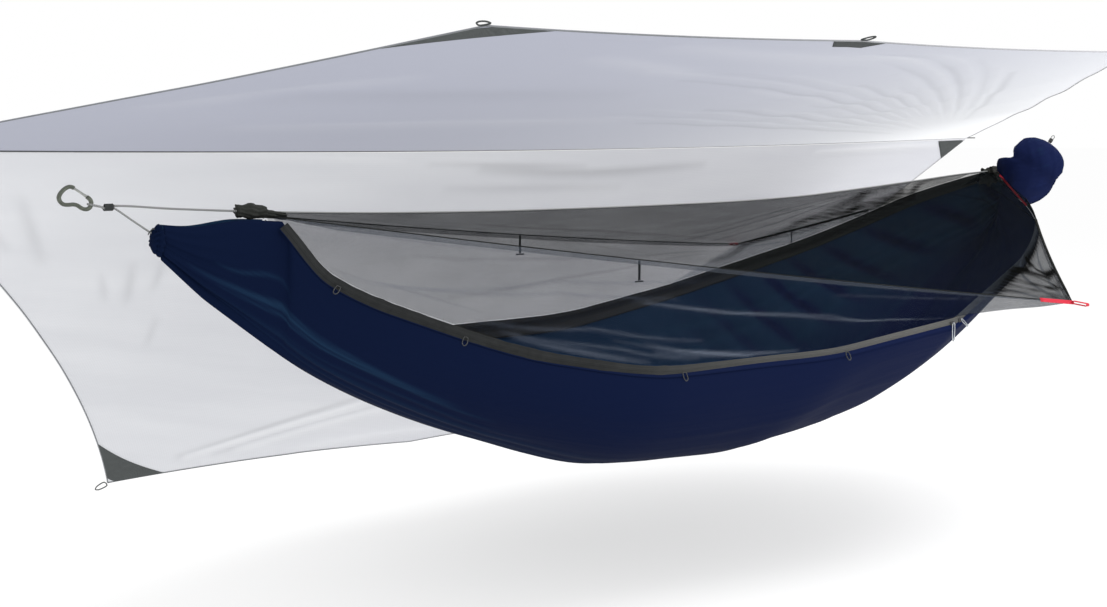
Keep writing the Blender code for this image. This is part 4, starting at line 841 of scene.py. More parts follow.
def net_piece(name, columns, mat, bow, lines, slack, seed, denser=0.0):
    """A net over columns, which run from its upper to its lower edge."""
    w = wobble(seed)
    n = len(columns)
    u, v = np.meshgrid(np.linspace(0, 1, n), np.linspace(0, 1, NET_CELLS + 1), indexing="ij")
    wide = max((last - first).length for first, last in columns)
    folds = crease_field(u, v, lines, 2.6, wide) + denser * np.clip((u - 0.72) / 0.02, 0, 1)
    rows = []
    for i, (first, last) in enumerate(columns):
        way = (last - first).normalized() * NET_GAP
        first, last = first + way, last - way
        reach = (last - first).length
        row = []
        for j in range(NET_CELLS + 1):
            t, q = j / NET_CELLS, i / (n - 1)
            p = first.lerp(last, t)
            inside = math.sin(math.pi * t)
            p.z += bow(q) * inside + slack * inside * reach * math.sin(q * 38 + t * 5 + 2 * w(q * 9 + t))
            row.append(place(*p))
        rows.append(row)
    return grid(name, rows, mat, [name.replace("_mesh", "_net")], fold=folds)


# Creases, as places (along, across) in shares of each net, width and density; on the lower nets the density
# also brings a painted highlight
LOW_LINES = {
    -1: (
        (((0.31, 0.42), (0.37, 0.46), (0.51, 0.50), (0.61, 0.65)), 0.007, 0.20),
        (((0.31, 0.81), (0.39, 0.92), (0.44, 0.99)), 0.006, 0.22),
        (((0.32, 0.88), (0.43, 0.97), (0.50, 0.98)), 0.008, 0.25),
        (((0.16, 0.88), (0.26, 0.73), (0.37, 0.77)), 0.006, 0.20),
        (((0.18, 0.92), (0.28, 0.88), (0.37, 0.96)), 0.006, 0.20),
        (((0.19, 0.94), (0.31, 0.98)), 0.010, 0.25),
        (((0.30, 0.42), (0.58, 0.58), (0.68, 0.80)), 0.006, 0.18),
        (((0.28, 0.81), (0.47, 0.97)), 0.005, 0.16),
        (((0.01, 0.12), (0.23, 0.05)), 0.005, 0.14),
        (((0.04, 0.88), (0.23, 0.42), (0.34, 0.36)), 0.005, 0.16),
        (((0.05, 0.92), (0.23, 0.31), (0.36, 0.16)), 0.005, 0.14),
        (((0.08, 0.77), (0.16, 0.77)), 0.006, 0.12),
        (((0.40, 0.02), (0.72, 0.04)), 0.010, 0.16),
        (((0.50, 0.20), (0.71, 0.10)), 0.008, 0.12),
        (((0.68, 0.96), (0.73, 0.02)), 0.008, 0.26),
        (((0.73, 0.02), (0.84, 0.55), (0.92, 0.95)), 0.006, 0.30),
        (((0.73, 0.02), (0.90, 0.30), (0.99, 0.60)), 0.005, 0.30),
        (((0.73, 0.02), (0.79, 0.60), (0.80, 0.98)), 0.005, 0.25),
    ),
    1: (
        (((0.20, 0.30), (0.80, 0.15)), 0.007, 0.12),
        (((0.30, 0.70), (0.72, 0.20)), 0.007, 0.12),
        (((0.73, 0.02), (0.98, 0.50)), 0.006, 0.20),
        (((0.73, 0.02), (0.94, 0.95)), 0.006, 0.16),
    ),
}
UP_LINES = {
    -1: (
        (((0.417, 0.50), (0.611, 0.15), (0.717, 0.05)), 0.008, 0.30),
        (((0.356, 0.85), (0.422, 0.50), (0.517, 0.25), (0.65, 0.01)), 0.009, 0.32),
        (((0.517, 0.30), (0.633, 0.05)), 0.008, 0.26),
        (((0.539, 0.35), (0.633, 0.05), (0.683, 0.01)), 0.008, 0.26),
        (((0.506, 0.25), (0.822, 0.02), (0.989, 0.01)), 0.008, 0.28),
        (((0.561, 0.30), (0.717, 0.01)), 0.008, 0.28),
        (((0.583, 0.25), (0.806, 0.01)), 0.008, 0.28),
        (((0.422, 0.70), (0.528, 0.40), (0.656, 0.20)), 0.009, 0.22),
        (((0.617, 0.95), (0.689, 0.99)), 0.006, 0.28),
        (((0.633, 0.90), (0.694, 0.99)), 0.006, 0.28),
        (((0.650, 0.85), (0.711, 0.99)), 0.006, 0.28),
        (((0.672, 0.80), (0.706, 0.99)), 0.006, 0.28),
        (((0.661, 0.80), (0.678, 0.80), (0.706, 0.90), (0.767, 0.99)), 0.009, 0.50),
        (((0.640, 0.86), (0.690, 0.93), (0.735, 0.99)), 0.006, 0.30),
        (((0.789, 0.20), (0.856, 0.50), (0.794, 0.80)), 0.010, 0.16),
        (((0.723, 0.80), (0.703, 0.83), (0.713, 0.89), (0.767, 1.0)), 0.008, 0.55),
        (
            ((0.877, 0.98), (0.80, 0.89), (0.723, 0.80), (0.67, 0.77), (0.633, 0.89), (0.605, 0.99)),
            0.008, 0.7,
        ),
        (((0.00, 0.10), (0.30, 0.75)), 0.008, 0.12),
        (((0.10, 0.20), (0.42, 0.45)), 0.010, 0.10),
    ),
    1: (
        (((0.50, 0.95), (0.62, 0.40), (0.72, 0.05)), 0.007, 0.28),
        (((0.56, 0.95), (0.68, 0.40), (0.80, 0.05)), 0.007, 0.26),
        (((0.62, 0.95), (0.74, 0.45), (0.88, 0.05)), 0.007, 0.24),
        (((0.00, 0.10), (0.30, 0.75)), 0.008, 0.12),
    ),
}


def net_stations(last, n):
    """Where n + 1 columns stand, from the nets' left end to the last station."""
    return [NET_LEFT_STATION + (last - NET_LEFT_STATION) * i / n for i in range(n + 1)]


def lower_columns(s):
    """From the seam down to the tape. The net hangs just under the seam's right part."""
    columns = []
    for x in net_stations(MEET_STATION, NET_COLUMNS):
        first = seam(s, x)
        if x >= TIP_STATION - 1:
            first.z -= SEAM_STEP * min(1.0, x - TIP_STATION + 1)
        columns.append((first, tape_top(s, station(x))))
    return columns


def upper_columns(s):
    """From beside the ridgeline down to the seam, and past the seam's end to the tape."""
    columns = []
    for x in net_stations(RIGHT_STATION, NET_COLUMNS):
        low = seam(s, x) if x <= MEET_STATION else tape_top(s, station(x))
        columns.append((Vector((low.x, s * NET_BESIDE, RIDGE(low.x)[0])), low))
    return columns


def make_hem(label, s):
    """The seam's hem, a doubled strip of net with a thin dark binding along its upper edge."""
    hem, line, sizes = [], [], []
    out = Vector((0.0, s, 0.15)).normalized()
    for i, x in enumerate(net_stations(MEET_STATION, HEM_COLUMNS)):
        top = seam(s, x)
        down = (tape_top(s, station(x)) - top).normalized()
        fade = min(1.0, i / 8, (HEM_COLUMNS - i) / 8)
        hem.append([place(*(top + out * 0.0008 + down * (0.001 + 0.013 * fade * k / 3))) for k in range(4)])
        line.append(place(*(top + out * 0.0006)))
        sizes.append(1.0 + 1.8 * clamped(x - TIP_STATION))
    plain = np.zeros((HEM_COLUMNS + 1, 4))
    strip = grid(f"{label}_net_hem", hem, NET_THICK, fold=plain)
    edge = cord(f"{label}_net_binding", line, 0.0012, BINDING, sides=6, sizes=sizes)
    return strip, edge


def make_nets():
    """Each side's lower and upper net, with the hem and binding of the seam between them."""
    made = {}
    for label, s in (("near", -1), ("far", 1)):
        made[label, "lower"] = net_piece(
            f"{label}_lower_mesh", lower_columns(s), NET_LOW, lambda u: 0.0, LOW_LINES[s], 0.006, 31 + s, 0.26
        )
        columns = upper_columns(s)
        reach = STATIONS[RIGHT_STATION] - NET_LEFT[0]
        bows = [BOW((top.x - NET_LEFT[0]) / reach)[0] for top, _ in columns]
        made[label, "upper"] = net_piece(
            f"{label}_upper_mesh", columns, NET_UP, lambda u, at=bows: at[int(u * (len(at) - 1))],
            UP_LINES[s], 0.004, 41 + s,
        )
        made[label, "hem"], made[label, "binding"] = make_hem(label, s)
    return made


nets = make_nets()
for piece in nets.values():
    piece.visible_shadow = False

# The nets' ends: a cuff round the ridgeline at each, with the net bunched into it


def on_ridge(a, drop=0.0):
    return place(a, 0.0, RIDGE(a)[0] - drop)


def make_sleeve(name, first, last, radius, mat, seed, node):
    """A cuff of cloth, bunched round the ridgeline."""
    w = wobble(seed)
    rows = []
    for i in range(25):
        t = i / 24
        size = radius * (0.62 + 0.38 * math.sin(math.pi * (0.12 + 0.8 * t))) * (1 + 0.16 * w(9 * t))
        middle = on_ridge(first).lerp(on_ridge(last), t)
        ring = []
        for q in around(40):
            r = size * (1 + 0.13 * math.cos(9 * q + 3 * w(3 * t)) + 0.10 * w(3 * q + 6 * t))
            ring.append(middle + Vector((0.0015 * w(5 * q), r * math.cos(q), r * math.sin(q) * 0.95)))
        rows.append(ring)
    grid(name, rows, mat, [node], wrap=True, caps=True)


def make_bunch(name, first, last, sizes, mat, seed):
    """Net drawn together into a pleated rope between two places."""
    w = wobble(seed)
    rows = []
    for i in range(25):
        t = i / 24
        size = sizes[0] + (sizes[1] - sizes[0]) * t**0.7
        ring = []
        for q in around(36):
            r = size * (1 + 0.20 * math.cos(7 * q + 2 * w(3 * t)) + 0.12 * w(4 * q + 3 * t))
            ring.append(first.lerp(last, t) + Vector((0.0, r * math.cos(q), r * math.sin(q) * 0.7)))
        rows.append(ring)
    grid(name, rows, mat, wrap=True, fold=np.full((25, 36), 0.25))


def make_skirt(name, side):
    """The net's right end, drawn down from the ridgeline to the bed."""
    rows = []
    for k in range(15):
        a = 1.190 + 0.105 * k / 14
        top, low = Vector((a, 0.003 * side, RIDGE(a)[0])), bed_edge(side, a)
        row = []
        for t in range(11):
            sway = Vector((0.0, 0.002 * math.sin(9 * t + 40 * a), 0.0))
            row.append(place(*(top.lerp(low, t / 10) + sway)))
        rows.append(row)
    grid(name, rows, NET_UP, fold=np.full((15, 11), 0.28))


CUFF = webbing("cuff", (0.030, 0.032, 0.029), 0.0014)
make_sleeve("left_cuff", -1.160, -1.094, 0.0150, CUFF, 51, "left_net_sleeve")
make_bunch("left_net_bunch", on_ridge(-1.108, 0.003), place(-1.050, 0.0, -0.028), (0.011, 0.010), CUFF, 56)
make_sleeve("right_cuff", 1.205, 1.275, 0.0130, TAPE_FAR, 52, "right_net_sleeve")
make_skirt("right_skirt", -1)
make_skirt("right_skirt_far", 1)
tape_ends = (rim(-1, STATIONS[-1], 0.0) + rim(1, STATIONS[-1], 0.0)) / 2
start = place(*tape_ends) + Vector((-0.012, 0, 0.004))
make_bunch("right_net_bunch", start, on_ridge(1.222, 0.002), (0.036, 0.014), TAPE_FAR, 55)

# Pull-out webbing loops at the net's tips


def make_tab(label, s, length):
    """A flat closed loop of webbing that stands out from the net's tip."""
    out = Vector((0.0, s, -0.08)).normalized()
    cross = Vector((1.0, 0.0, 0.0))
    rise = cross.cross(out).normalized()
    rise = -rise if rise.z < 0 else rise
    middle = place(*(TIPS[s] + out * (length / 2 + 0.0001)))
    high, web = 0.0082, 0.0015
    r, reach = (high - web) / 2, length / 2 - high / 2
    line, normals = [], []
    for facing in (1, -1):
        for i in range(13):
            q = math.pi * i / 12 - facing * math.pi / 2
            x, y = math.cos(q), math.sin(q)
            line.append(middle + out * (facing * reach + r * x) + rise * (r * y))
            normals.append(out * x + rise * y)
    line.append(line[0])
    normals.append(normals[0])
    across = [cross] * len(line)
    band(f"{label}_tab", line, across, normals, 0.012, web, CORAL, [f"{label}_pullout"])


def make_tab_root():
    """The near loop's webbing, sewn along the seam."""
    inward = [seam_left(-1, 1 - 0.048 * k / 10) for k in range(11)]
    line = [place(*(q + Vector((0.0, -0.0022, -0.0010)))) for q in inward]
    up, out = [Vector((0.0, 0.35, 0.94))] * 11, [Vector((0.0, -0.94, 0.35))] * 11
    band("near_tab_root", line, up, out, 0.010, 0.0014, CORAL)


make_tab("near", -1, 0.046)
make_tab("far", 1, 0.026)
make_tab_root()

# Stuff sack


def sack_axes(share):
    """The sack's directions along, across and through it. It twists near its base."""
    way = Vector((0.60, -0.15, 0.79)).normalized()
    first, last = Vector((-0.474, -0.806, -0.355)), Vector((0.54, -0.65, -0.535))
    wide = first.lerp(last, min(1.0, share / 0.45)).normalized()
    return way, wide, way.cross(wide).normalized()


SACK_BASE, SACK_SHIFT = Vector((1.1696, -0.1388, -0.0244)), Vector((-0.010, 0.0075, 0.0))
SACK_LENGTH, SACK_WIDE, SACK_DEEP = 0.162, 0.075, 0.0425
SACK = steady(
    (
        (0.000, 1.36, 0.30), (0.060, 1.30, 0.42), (0.240, 1.08, 0.75), (0.450, 0.97, 0.95),
        (0.640, 0.97, 1.00), (0.800, 0.90, 0.92), (0.910, 0.68, 0.70), (0.975, 0.36, 0.38),
        (1.000, 0.12, 0.12),
    )
)


def make_sack():
    """The sack's cloth, from its base to its drawn mouth, with a notch across its middle."""
    w = wobble(61)
    rows, folds = [], []
    for i in range(57):
        share = i / 56
        width, depth = SACK(share)
        way, wide, deep = sack_axes(share)
        mouth, base = max(0.0, (share - 0.62) / 0.38), max(0.0, 1 - share / 0.5)
        notch, full = bell((share - 0.43) / 0.10), math.sin(math.pi * share)
        ring = []
        for t in around(96):
            back = max(0.0, -math.cos(t))
            large, small = w(4 * t + 9 * share), w(9 * t - 14 * share)
            # A painted highlight on the sack's lumps, and painted shade in the notch and over its lower part.
            painted_light = 0.35 * max(0.0, large + 0.6 * small) ** 3
            folds.append(painted_light - 0.35 * notch - 0.6 * max(0.0, 1 - share / 0.45))
            neck = bell((share - 0.22) / 0.12) * back**2
            push = 0.0022 * math.cos(5 * t) * (1 - share) + 0.007 * neck
            push -= notch * (0.002 + 0.011 * back)
            push += 0.0034 * mouth * (1 - 0.6 * mouth) * math.cos(15 * t + 2 * w(t))
            push += 0.0026 * base * math.cos(9 * t + 6 * share + 2 * w(2 * t))
            push += 0.0030 * large * full
            push += 0.0016 * small * full
            swell = 1 + (0.30 * base**1.5 if math.cos(t) < 0 else 0)
            x = (SACK_WIDE * width + push) * math.cos(t) * swell
            y = (SACK_DEEP * depth + push) * math.sin(t)
            middle = SACK_BASE + way * (share * SACK_LENGTH)
            ring.append(place(*(middle + wide * x + deep * y + SACK_SHIFT * base**1.5)))
        rows.append(ring)
    folds += [0.0, 0.0]
    return grid("sack_cloth", rows, NAVY, ["stuff_sack"], wrap=True, caps=True, fold=folds)


def make_trim():
    """The coral band over the sack's base."""
    way, wide, deep = sack_axes(0.0)
    base = SACK_BASE - way * 0.0033 + SACK_SHIFT
    reach = SACK_WIDE * SACK(0.0)[0]
    line = []
    for i in range(41):
        x = 2.25 * i / 40 - 1.25
        line.append(place(*(base + wide * reach * x - deep * (0.006 * max(0, 1 - x * x) - 0.0007))))
    band("sack_band", line, [way] * 41, [-deep] * 41, 0.006, 0.0014, CORAL, ["sack_webbing"])


sack = make_sack()
make_trim()

# Fly


def side_edge(s, end, out):
    t = out / FLY_WIDE
    reach = FLY_RIDGE / 2 + (FLY_OUTER - FLY_RIDGE) / 2 * t
    return end * (reach - FLY_SIDE_SAG[s, end] * 4 * t * (1 - t))


def outer_edge(x):
    t = min(1.0, abs(x) / (FLY_OUTER / 2))
    return FLY_WIDE - OUTER_SAG * 4 * t * (1 - t)


RAY_START = 0.13


def rays():
    """The porch's fine creases, which fan out from the ridge's right end.

    Each starts a little way off, and lies between two of the lines.
    """
    lines = (
        ((0.84, 0.12), (0.66, 0.22), (0.45, 0.28)), ((0.87, 0.16), (0.70, 0.33), (0.50, 0.45)),
        ((0.88, 0.20), (0.753, 0.406), (0.45, 0.62)), ((0.893, 0.219), (0.727, 0.547), (0.38, 0.77)),
        ((0.90, 0.25), (0.76, 0.62), (0.50, 0.84)), ((0.91, 0.30), (0.80, 0.72), (0.60, 0.92)),
        ((0.92, 0.36), (0.86, 0.78), (0.74, 0.96)),
    )
    first = Vector((0.955, 0.05))
    for k in range(25):
        one, two, share = lines[k // 4], lines[min(6, k // 4 + 1)], k % 4 / 4
        _, middle, last = (Vector(a).lerp(Vector(b), share) for a, b in zip(one, two))
        bend, reach = 2 * middle - (first + last) / 2, 0.80 + 0.25 * math.sin(7 * k)
        points = []
        for j in range(11):
            t = RAY_START + (reach - RAY_START) * j / 10
            q = first * (1 - t) ** 2 + bend * 2 * t * (1 - t) + last * t * t
            points.append((q.x, q.y))
        # Neighbouring rays alternate a painted highlight and painted shade.
        sign = (-1, 1)[k % 2]
        painted_light = 0.20 * sign * (0.65 + 0.35 * math.sin(5 * k + 1))
        yield points, 0.011 + 0.003 * math.sin(3 * k), 0.0022 * sign, painted_light


# Creases of each panel: places (along, out) in shares of it, width, height and painted highlight, painted
# shade where negative
FLY_CREASES = {
    -1: (
        *rays(),
        (((0.05, 0.39), (0.14, 0.66)), 0.040, 0.0050, 0.12),
        (((0.19, 0.20), (0.48, 0.28)), 0.050, 0.0050, 0.12),
        (((0.25, 0.83), (0.42, 0.73)), 0.036, 0.0040, 0.14),
        (((0.30, 0.92), (0.50, 0.86), (0.72, 0.90)), 0.040, 0.0040, 0.16),
        (((0.10, 0.50), (0.40, 0.56)), 0.060, 0.0050, -0.10),
    ),
    1: (
        (((0.11, 0.945), (0.23, 0.890), (0.37, 0.808)), 0.014, 0.0030, -0.34),
        (((0.12, 0.958), (0.24, 0.905), (0.40, 0.822)), 0.012, 0.0045, 0.60),
        (((0.16, 0.955), (0.28, 0.905), (0.41, 0.845)), 0.010, 0.0030, -0.30),
        (((0.20, 0.960), (0.32, 0.905), (0.42, 0.865)), 0.016, 0.0035, 0.45),
        (((0.30, 0.985), (0.44, 0.965), (0.56, 0.970)), 0.020, 0.0030, 0.30),
        (((0.45, 0.060), (0.56, 0.080), (0.68, 0.062)), 0.018, 0.0040, -0.34),
        (((0.40, 0.040), (0.55, 0.055)), 0.012, 0.0030, -0.20),
        (((0.42, 0.120), (0.60, 0.130)), 0.016, 0.0030, -0.18),
        (((0.24, 0.015), (0.37, 0.031)), 0.014, 0.0030, 0.20),
        (((0.81, 0.031), (0.97, 0.020)), 0.012, 0.0050, 0.50),
        (((0.12, 0.31), (0.10, 0.41)), 0.014, 0.0030, -0.22),
        (((0.15, 0.30), (0.13, 0.38)), 0.012, 0.0030, -0.20),
        (((0.09, 0.33), (0.08, 0.40)), 0.010, 0.0025, -0.16),
        (((0.12, 0.47), (0.10, 0.54)), 0.010, 0.0025, -0.16),
        (((0.07, 0.12), (0.05, 0.28)), 0.016, 0.0035, -0.20),
        (((0.03, 0.14), (0.03, 0.24)), 0.012, 0.0030, -0.16),
    ),
}
RIDGE_SAG = 0.019
flutter = wobble(71)


def crease_sum(s, x, out, which):
    """The creases' height (1) or their painted highlight and shade (2) at places in the plane of a panel."""
    lines = [(row[0], row[1], row[1 + which]) for row in CREASE_PLACES[s]]
    return crease_field(x, out, lines, 1.0, 1.0)


def relief(s, x, out):
    t, q = out / FLY_WIDE, x / (FLY_RIDGE / 2)
    height = -0.012 * np.sin(math.pi * t) * np.maximum(0.0, 1 - q * q)
    lean, centre = (-0.6, 0.45) if s < 0 else (0.8, -0.45)
    window = np.exp(-(((q - centre) / 0.4) ** 2)) * np.sin(math.pi * t) ** 2
    height = height + 0.0042 * np.cos(2 * math.pi * (x + lean * out) / 0.3) * window
    inside = np.clip((side_edge(s, 1, out) - np.abs(x)) / 0.16, 0.0, 1.0)
    height = height + crease_sum(s, x, out, 1) * inside
    return height + 0.0012 * flutter(x * 5 + s) * np.sin(math.pi * t)


def fly_points(s, places, lift=0.0):
    """World points for (along, out) places in a panel, in rows of any shape."""
    at = np.array(places, float)
    x, out = at[..., 0], at[..., 1]
    z = relief(s, x, np.clip(out, 0.0, FLY_WIDE)) + lift
    p, y = FLY_PITCH[s], s * out
    sag = ridge_sag(x) * np.maximum(0.0, 1 - out / 0.28) ** 2
    parts = (x, y * math.cos(p) - z * math.sin(p), y * math.sin(p) + z * math.cos(p) - sag)
    return np.stack([part + base for part, base in zip(parts, FLY_HINGE)], -1)


def ridge_sag(x):
    return RIDGE_SAG * np.maximum(0.0, 1 - (x / (FLY_RIDGE / 2)) ** 2)


BODY = {-1: "fly_near", 1: "fly_far"}
# A panel starts this far out from the ridge's middle line
RIDGE_CLEAR = 0.0041


def panel_uv(s, q, t):
    """Place in a panel from shares along and out."""
    guess = RIDGE_CLEAR + (FLY_WIDE - RIDGE_CLEAR) * t
    left, right = side_edge(s, -1, guess), side_edge(s, 1, guess)
    x = left + (right - left) * q
    limit = outer_edge(x * FLY_OUTER / (right - left))
    return x, RIDGE_CLEAR + (limit - RIDGE_CLEAR) * t


def smooth_line(places):
    """Points in the plane, turned into a smooth curve through them."""
    return [(v.x, v.y) for v in rounded([Vector((x, y, 0.0)) for x, y in places], 3)]


def panel_line(s, points):
    """A crease's places in a panel. One of few points is smoothed, and the rays are smooth already."""
    places = [panel_uv(s, q, t) for q, t in points]
    return places if len(points) > 6 else smooth_line(places)


CREASE_PLACES = {
    s: [(panel_line(s, points), *rest) for points, *rest in FLY_CREASES[s]] for s in (-1, 1)
}


def make_panel(label, s):
    """A panel's cloth and the hems of its three free edges."""
    columns = [1 - (1 - q) ** 1.5 for q in spaced(0, 1, 360)] if s < 0 else spaced(0, 1, 320)
    flat = np.array([[panel_uv(s, q, t) for t in spaced(0, 1, 130)] for q in columns])
    # The creases' painted highlight and painted shade, carried in the fold attribute.
    folds = crease_sum(s, flat[..., 0], flat[..., 1], 2)
    panel = grid(
        f"fly_{label}_cloth", fly_points(s, flat), PORCH if s < 0 else FLY, [f"fly_{label}_panel"],
        fold=folds, body=BODY[s],
    )
    edges = {
        "left": [panel_uv(s, 0.0015, t) for t in spaced(0.002, 0.998, 70)],
        "right": [panel_uv(s, 0.9985, t) for t in spaced(0.002, 0.998, 70)],
        "outer": [panel_uv(s, q, 0.998) for q in spaced(0.001, 0.999, 90)],
    }
    hems = []
    for name, line in edges.items():
        pts = [Vector(p) for p in fly_points(s, line, -0.0006)]
        name = f"fly_{label}_{name}_hem"
        hems.append(cord(name, pts, 0.0022, FLY_HEM, squash=0.6, body=BODY[s]))
    return panel, hems


FLY_HEM = webbing("fly_hem", (0.22, 0.23, 0.24), 0.0016)
# The hem is painted lighter towards the right end, painted light as on the porch.
fade_along(FLY_HEM, 0.9, 2.3, (0.50, 0.50, 0.52))
panels = {label: make_panel(label, s) for label, s in (("near", -1), ("far", 1))}
for panel, hems in panels.values():
    panel.visible_shadow = False
    panel.visible_diffuse = False

# Patches. Each has its reach along the fly and out from the ridge.
PATCH_INSET = 0.003
CORNER, RIDGE_CORNER, MIDDLE = (0.150, 0.160), (0.130, 0.075), (0.075, 0.040)
ENDS = {"left": -1, "right": 1}


def patch(name, s, rows, node):
    return grid(name, fly_points(s, rows, -0.0019), PATCH, [node], 0.0009, body=BODY[s])


def between(first, last, n):
    """n + 1 places on the line from one place in a panel to another."""
    (x, out), (dx, dout) = first, (last[0] - first[0], last[1] - first[1])
    return [(x + dx * j / n, out + dout * j / n) for j in range(n + 1)]


def corner_patch(label, s, end_name, end):
    """An outer corner. The near right one is drawn at half size."""
    size = 0.5 if s < 0 < end else 1.0
    rows = []
    for i in range(17):
        r = 0.12 + 0.88 * i / 16
        out = FLY_WIDE - PATCH_INSET - r * CORNER[1] * size
        x = end * (FLY_OUTER / 2 - PATCH_INSET - r * CORNER[0] * size)
        first = (side_edge(s, end, out) - end * PATCH_INSET, out)
        row = []
        for j, (px, po) in enumerate(between(first, (x, outer_edge(x) - PATCH_INSET), 16)):
            dip = 0.012 * math.sin(math.pi * j / 16) * r
            row.append((px + end * dip * 0.6, po + dip * 0.6))
        rows.append(row)
    return patch(f"{label}_{end_name}_corner", s, rows, f"fly_{label}_{end_name}_patch")


def ridge_patch(end_name, end):
    rows = []
    for i in range(13):
        r = 0.12 + 0.88 * i / 12
        out = RIDGE_CLEAR + r * RIDGE_CORNER[1]
        first = (side_edge(1, end, out) - end * PATCH_INSET, out)
        x = end * (FLY_RIDGE / 2 - PATCH_INSET - r * RIDGE_CORNER[0])
        rows.append(between(first, (x, RIDGE_CLEAR + PATCH_INSET), 12))
    return patch(f"{end_name}_ridge_corner", 1, rows, f"fly_{end_name}_ridge_patch")


def middle_patch(label, s):
    rows = []
    for i in range(11):
        r = i / 10
        row = []
        for j in range(17):
            x = (2 * j / 16 - 1) * MIDDLE[0] * (1 - 0.45 * r)
            row.append((x, outer_edge(x) - PATCH_INSET - r * MIDDLE[1]))
        rows.append(row)
    return patch(f"{label}_middle_corner", s, rows, f"fly_{label}_middle_patch")


def corners(label, s):
    return [corner_patch(label, s, end_name, end) for end_name, end in ENDS.items()]


patches = {"near": [middle_patch("near", -1), *corners("near", -1)], "far": corners("far", 1)}
patches["far"] += [ridge_patch(end_name, end) for end_name, end in ENDS.items()]

# The ridge seam, a folded strip of webbing
pts = [FLY_HINGE + Vector((x, 0.0, -ridge_sag(x))) for x in spaced(-FLY_RIDGE / 2, FLY_RIDGE / 2, 80)]
sizes = [1.15 - 0.75 * clamped((p.x + 0.9) / 1.5) for p in pts]
cord("ridge_strip", pts, 0.0040, SEAM, ["fly_ridge_seam"], sides=12, sizes=sizes)

# The ridgeline and the two suspension cords, each braided
line = [on_ridge(a) for a in spaced(RIDGE_ROWS[0][0], RIDGE_ROWS[-1][0], 160)]
cord("ridge_cord", line, 0.0023, BRAID, ["ridgeline"], sides=12)
KNOT, KNOT_HALF, STRAND_OFF = BED_LENGTH / 2 + 0.085, 0.0095, 0.0029
EYE_LENGTH, EYE_HALF_WIDTH, EYE_RISE = 0.0313, 0.0085, 0.24
EYE = ((0.10, -0.34), (0.45, -0.92), (0.82, -0.85), (1.0, 0.0), (0.82, 0.85), (0.45, 0.92), (0.10, 0.34))
WHIP_TURNS, WHIP_STEPS, WHIP_HALF, WHIP_RADIUS = 7, 16, 0.0090, 0.0060


def make_suspension(side, facing, lift):
    """The cord from a gathered end through its knot to a small eye, and the knot's whipping."""

    def strand(turn, reach):
        y, z = STRAND_OFF * math.cos(turn), STRAND_OFF * math.sin(turn)
        return Vector((facing * (KNOT + reach), y, lift + z))

    out, back = math.radians(-150), math.radians(-30)
    end, middle = gathers[facing]
    start = Vector((end - facing * 0.002, 0.0, middle + 2 * GATHER_HIGH * 0.28))
    first = strand(out, -KNOT_HALF)
    pts = [start, (start + first) / 2, first, strand(out, 0.0), strand(out, KNOT_HALF)]
    for share, across in EYE:
        reach = KNOT_HALF + share * EYE_LENGTH
        rise = EYE_RISE * share * EYE_LENGTH
        pts.append(Vector((facing * (KNOT + reach), across * EYE_HALF_WIDTH, lift + rise)))
    pts += [strand(back, KNOT_HALF), strand(back, -KNOT_HALF / 2)]
    line = [place(*q) for q in rounded(pts, 6)]
    cord(f"{side}_suspension_cord", line, 0.0021, BRAID, [f"{side}_suspension"], sides=12)
    turns = []
    for k in range(WHIP_TURNS * WHIP_STEPS + 1):
        q = 2 * math.pi * k / WHIP_STEPS
        x = facing * (KNOT - WHIP_HALF + 2 * WHIP_HALF * k / (WHIP_TURNS * WHIP_STEPS))
        turns.append(place(x, WHIP_RADIUS * math.cos(q), lift + WHIP_RADIUS * math.sin(q)))
    cord(f"{side}_whipping", turns, 0.0013, WHIP, [f"{side}_knot"])


make_suspension("left", -1, 0.0025)
make_suspension("right", 1, 0.0255)

# Carabiners: a bent bar with a channel down each face. BEND is in shares of the length.
CARABINER_LENGTH, CARABINER_START = 0.080, 0.0315
BEND = (
    (-0.450, 0.302), (-0.505, 0.332), (-0.590, 0.330), (-0.690, 0.275), (-0.775, 0.190), (-0.819, 0.095),
    (-0.800, 0.000), (-0.720, -0.075), (-0.600, -0.092), (-0.480, -0.086), (-0.380, -0.112), (-0.270, -0.185),
    (-0.160, -0.212), (-0.070, -0.170), (-0.031, -0.070), (-0.060, 0.020), (-0.135, 0.085),
)
BAR = closed(((-0.0039, 0.0), (-0.0037, 0.0024), (-0.0028, 0.0033), (-0.0018, 0.0030), (-0.0012, 0.0019)))


def make_carabiner(side, facing, height):
    """The bent bar, from its nose round to the gate's hinge."""
    small = facing * (KNOT + CARABINER_START)
    pts = []
    for a, b in BEND:
        pts.append(place(small - facing * a * CARABINER_LENGTH, 0.0, height + b * CARABINER_LENGTH))
    pts = rounded(pts, 6)
    rows = []
    for k, q in enumerate(pts):
        way = (pts[min(k + 1, len(pts) - 1)] - pts[max(k - 1, 0)]).normalized()
        across = Vector((-way.z, 0.0, way.x))
        rows.append([q + across * a + Vector((0.0, b, 0.0)) for a, b in BAR])
    grid(f"{side}_carabiner_body", rows, METAL, [f"{side}_carabiner"], wrap=True, caps=True)


make_carabiner("left", -1, 0.0170)
make_carabiner("right", 1, 0.0400)

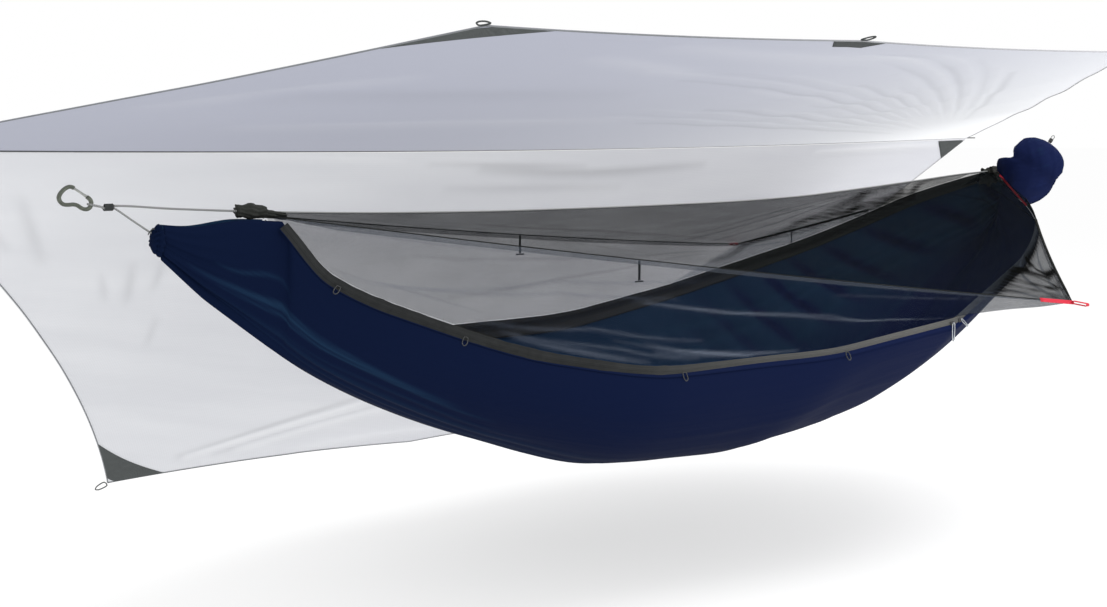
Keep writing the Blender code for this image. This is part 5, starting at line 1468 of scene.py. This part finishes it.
# Cords and hardware that keep their CAD shape get their own finish
TOGGLES = ("near", "far_left", "far_right")
OWN_FINISH = {
    GATE: ["left_gate", "right_gate"],
    BLACK: ["left_slider", "right_slider", "cord_lock", *(f"{name}_toggle_bar" for name in TOGGLES)],
    PULL: ["left_pull", "right_pull"],
    LOOP: ["far_rim_loop", *(f"near_rim_loop_{k}" for k in (1, 2, 3, 4))],
    CORD: ["sack_drawcord"],
    STRAP: [f"{name}_toggle_strap" for name in TOGGLES],
    TIE: [name for name in NODES if name.startswith("fly_") and name.endswith("_loop")],
}
for mat, names in OWN_FINISH.items():
    for name in names:
        NODES[name].data.materials.clear()
        NODES[name].data.materials.append(mat.m)

# Each side's panel and its hems, looked up in turn
for label in ("near", "far"):
    panel, hems = panels[label]

# Floor, light and background
FLOOR, FLOOR_GLOW, WHITE = -0.90, 0.5, (0.97, 0.97, 0.97)
FLOOR_CORNERS = ((-40, -20), (60, -20), (60, 80), (-40, 80))


def floor_finish():
    """Matt white. Where it is seen, half of it is its own light, as in a lit studio."""
    f = Finish("floor", WHITE)
    path = f.node("LightPath").outputs
    some = f.math("MAXIMUM", path["Is Camera Ray"], path["Is Glossy Ray"])
    share = f.math("MULTIPLY", f.math("MAXIMUM", some, path["Is Transmission Ray"]), FLOOR_GLOW)
    matt, glow = f.node("BsdfDiffuse", {"Color": (*WHITE, 1)}), f.node("Emission", {"Strength": 1.0})
    f.surface(f.node("MixShader", {0: share, 1: matt.outputs[0], 2: glow.outputs[0]}).outputs[0])
    return f.m


def make_floor():
    mesh = bpy.data.meshes.new("floor")
    mesh.from_pydata([(x, y, FLOOR) for x, y in FLOOR_CORNERS], [], [(0, 1, 2, 3)])
    mesh.materials.append(floor_finish())
    floor = bpy.data.objects.new("floor", mesh)
    bpy.context.scene.collection.objects.link(floor)


make_floor()

world = bpy.data.worlds.new("studio")
bpy.context.scene.world = world
world.use_nodes = True
world.node_tree.nodes["Background"].inputs["Color"].default_value = (1, 1, 1, 1)


def lamp(name, at, towards, size, watts):
    light = bpy.data.lights.new(name, "AREA")
    light.shape = "SQUARE"
    light.size = size
    light.energy = watts
    obj = bpy.data.objects.new(name, light)
    obj.location = at
    obj.rotation_euler = (Vector(towards) - Vector(at)).to_track_quat("-Z", "Y").to_euler()
    obj.visible_camera = False
    bpy.context.scene.collection.objects.link(obj)


lamp("key", (3.6, -1.2, 4.1), (1.4, 0.1, -0.6), 2.2, 72)
lamp("second_key", (5.4, -1.0, 4.1), (1.2, 0.1, -0.6), 2.4, 76)
lamp("front", (0.2, -4.0, 1.4), (1.4, 0.0, 0.0), 2.5, 35)
lamp("side", (4.6, -2.2, 0.4), (1.9, 0.2, 0.1), 1.6, 10)
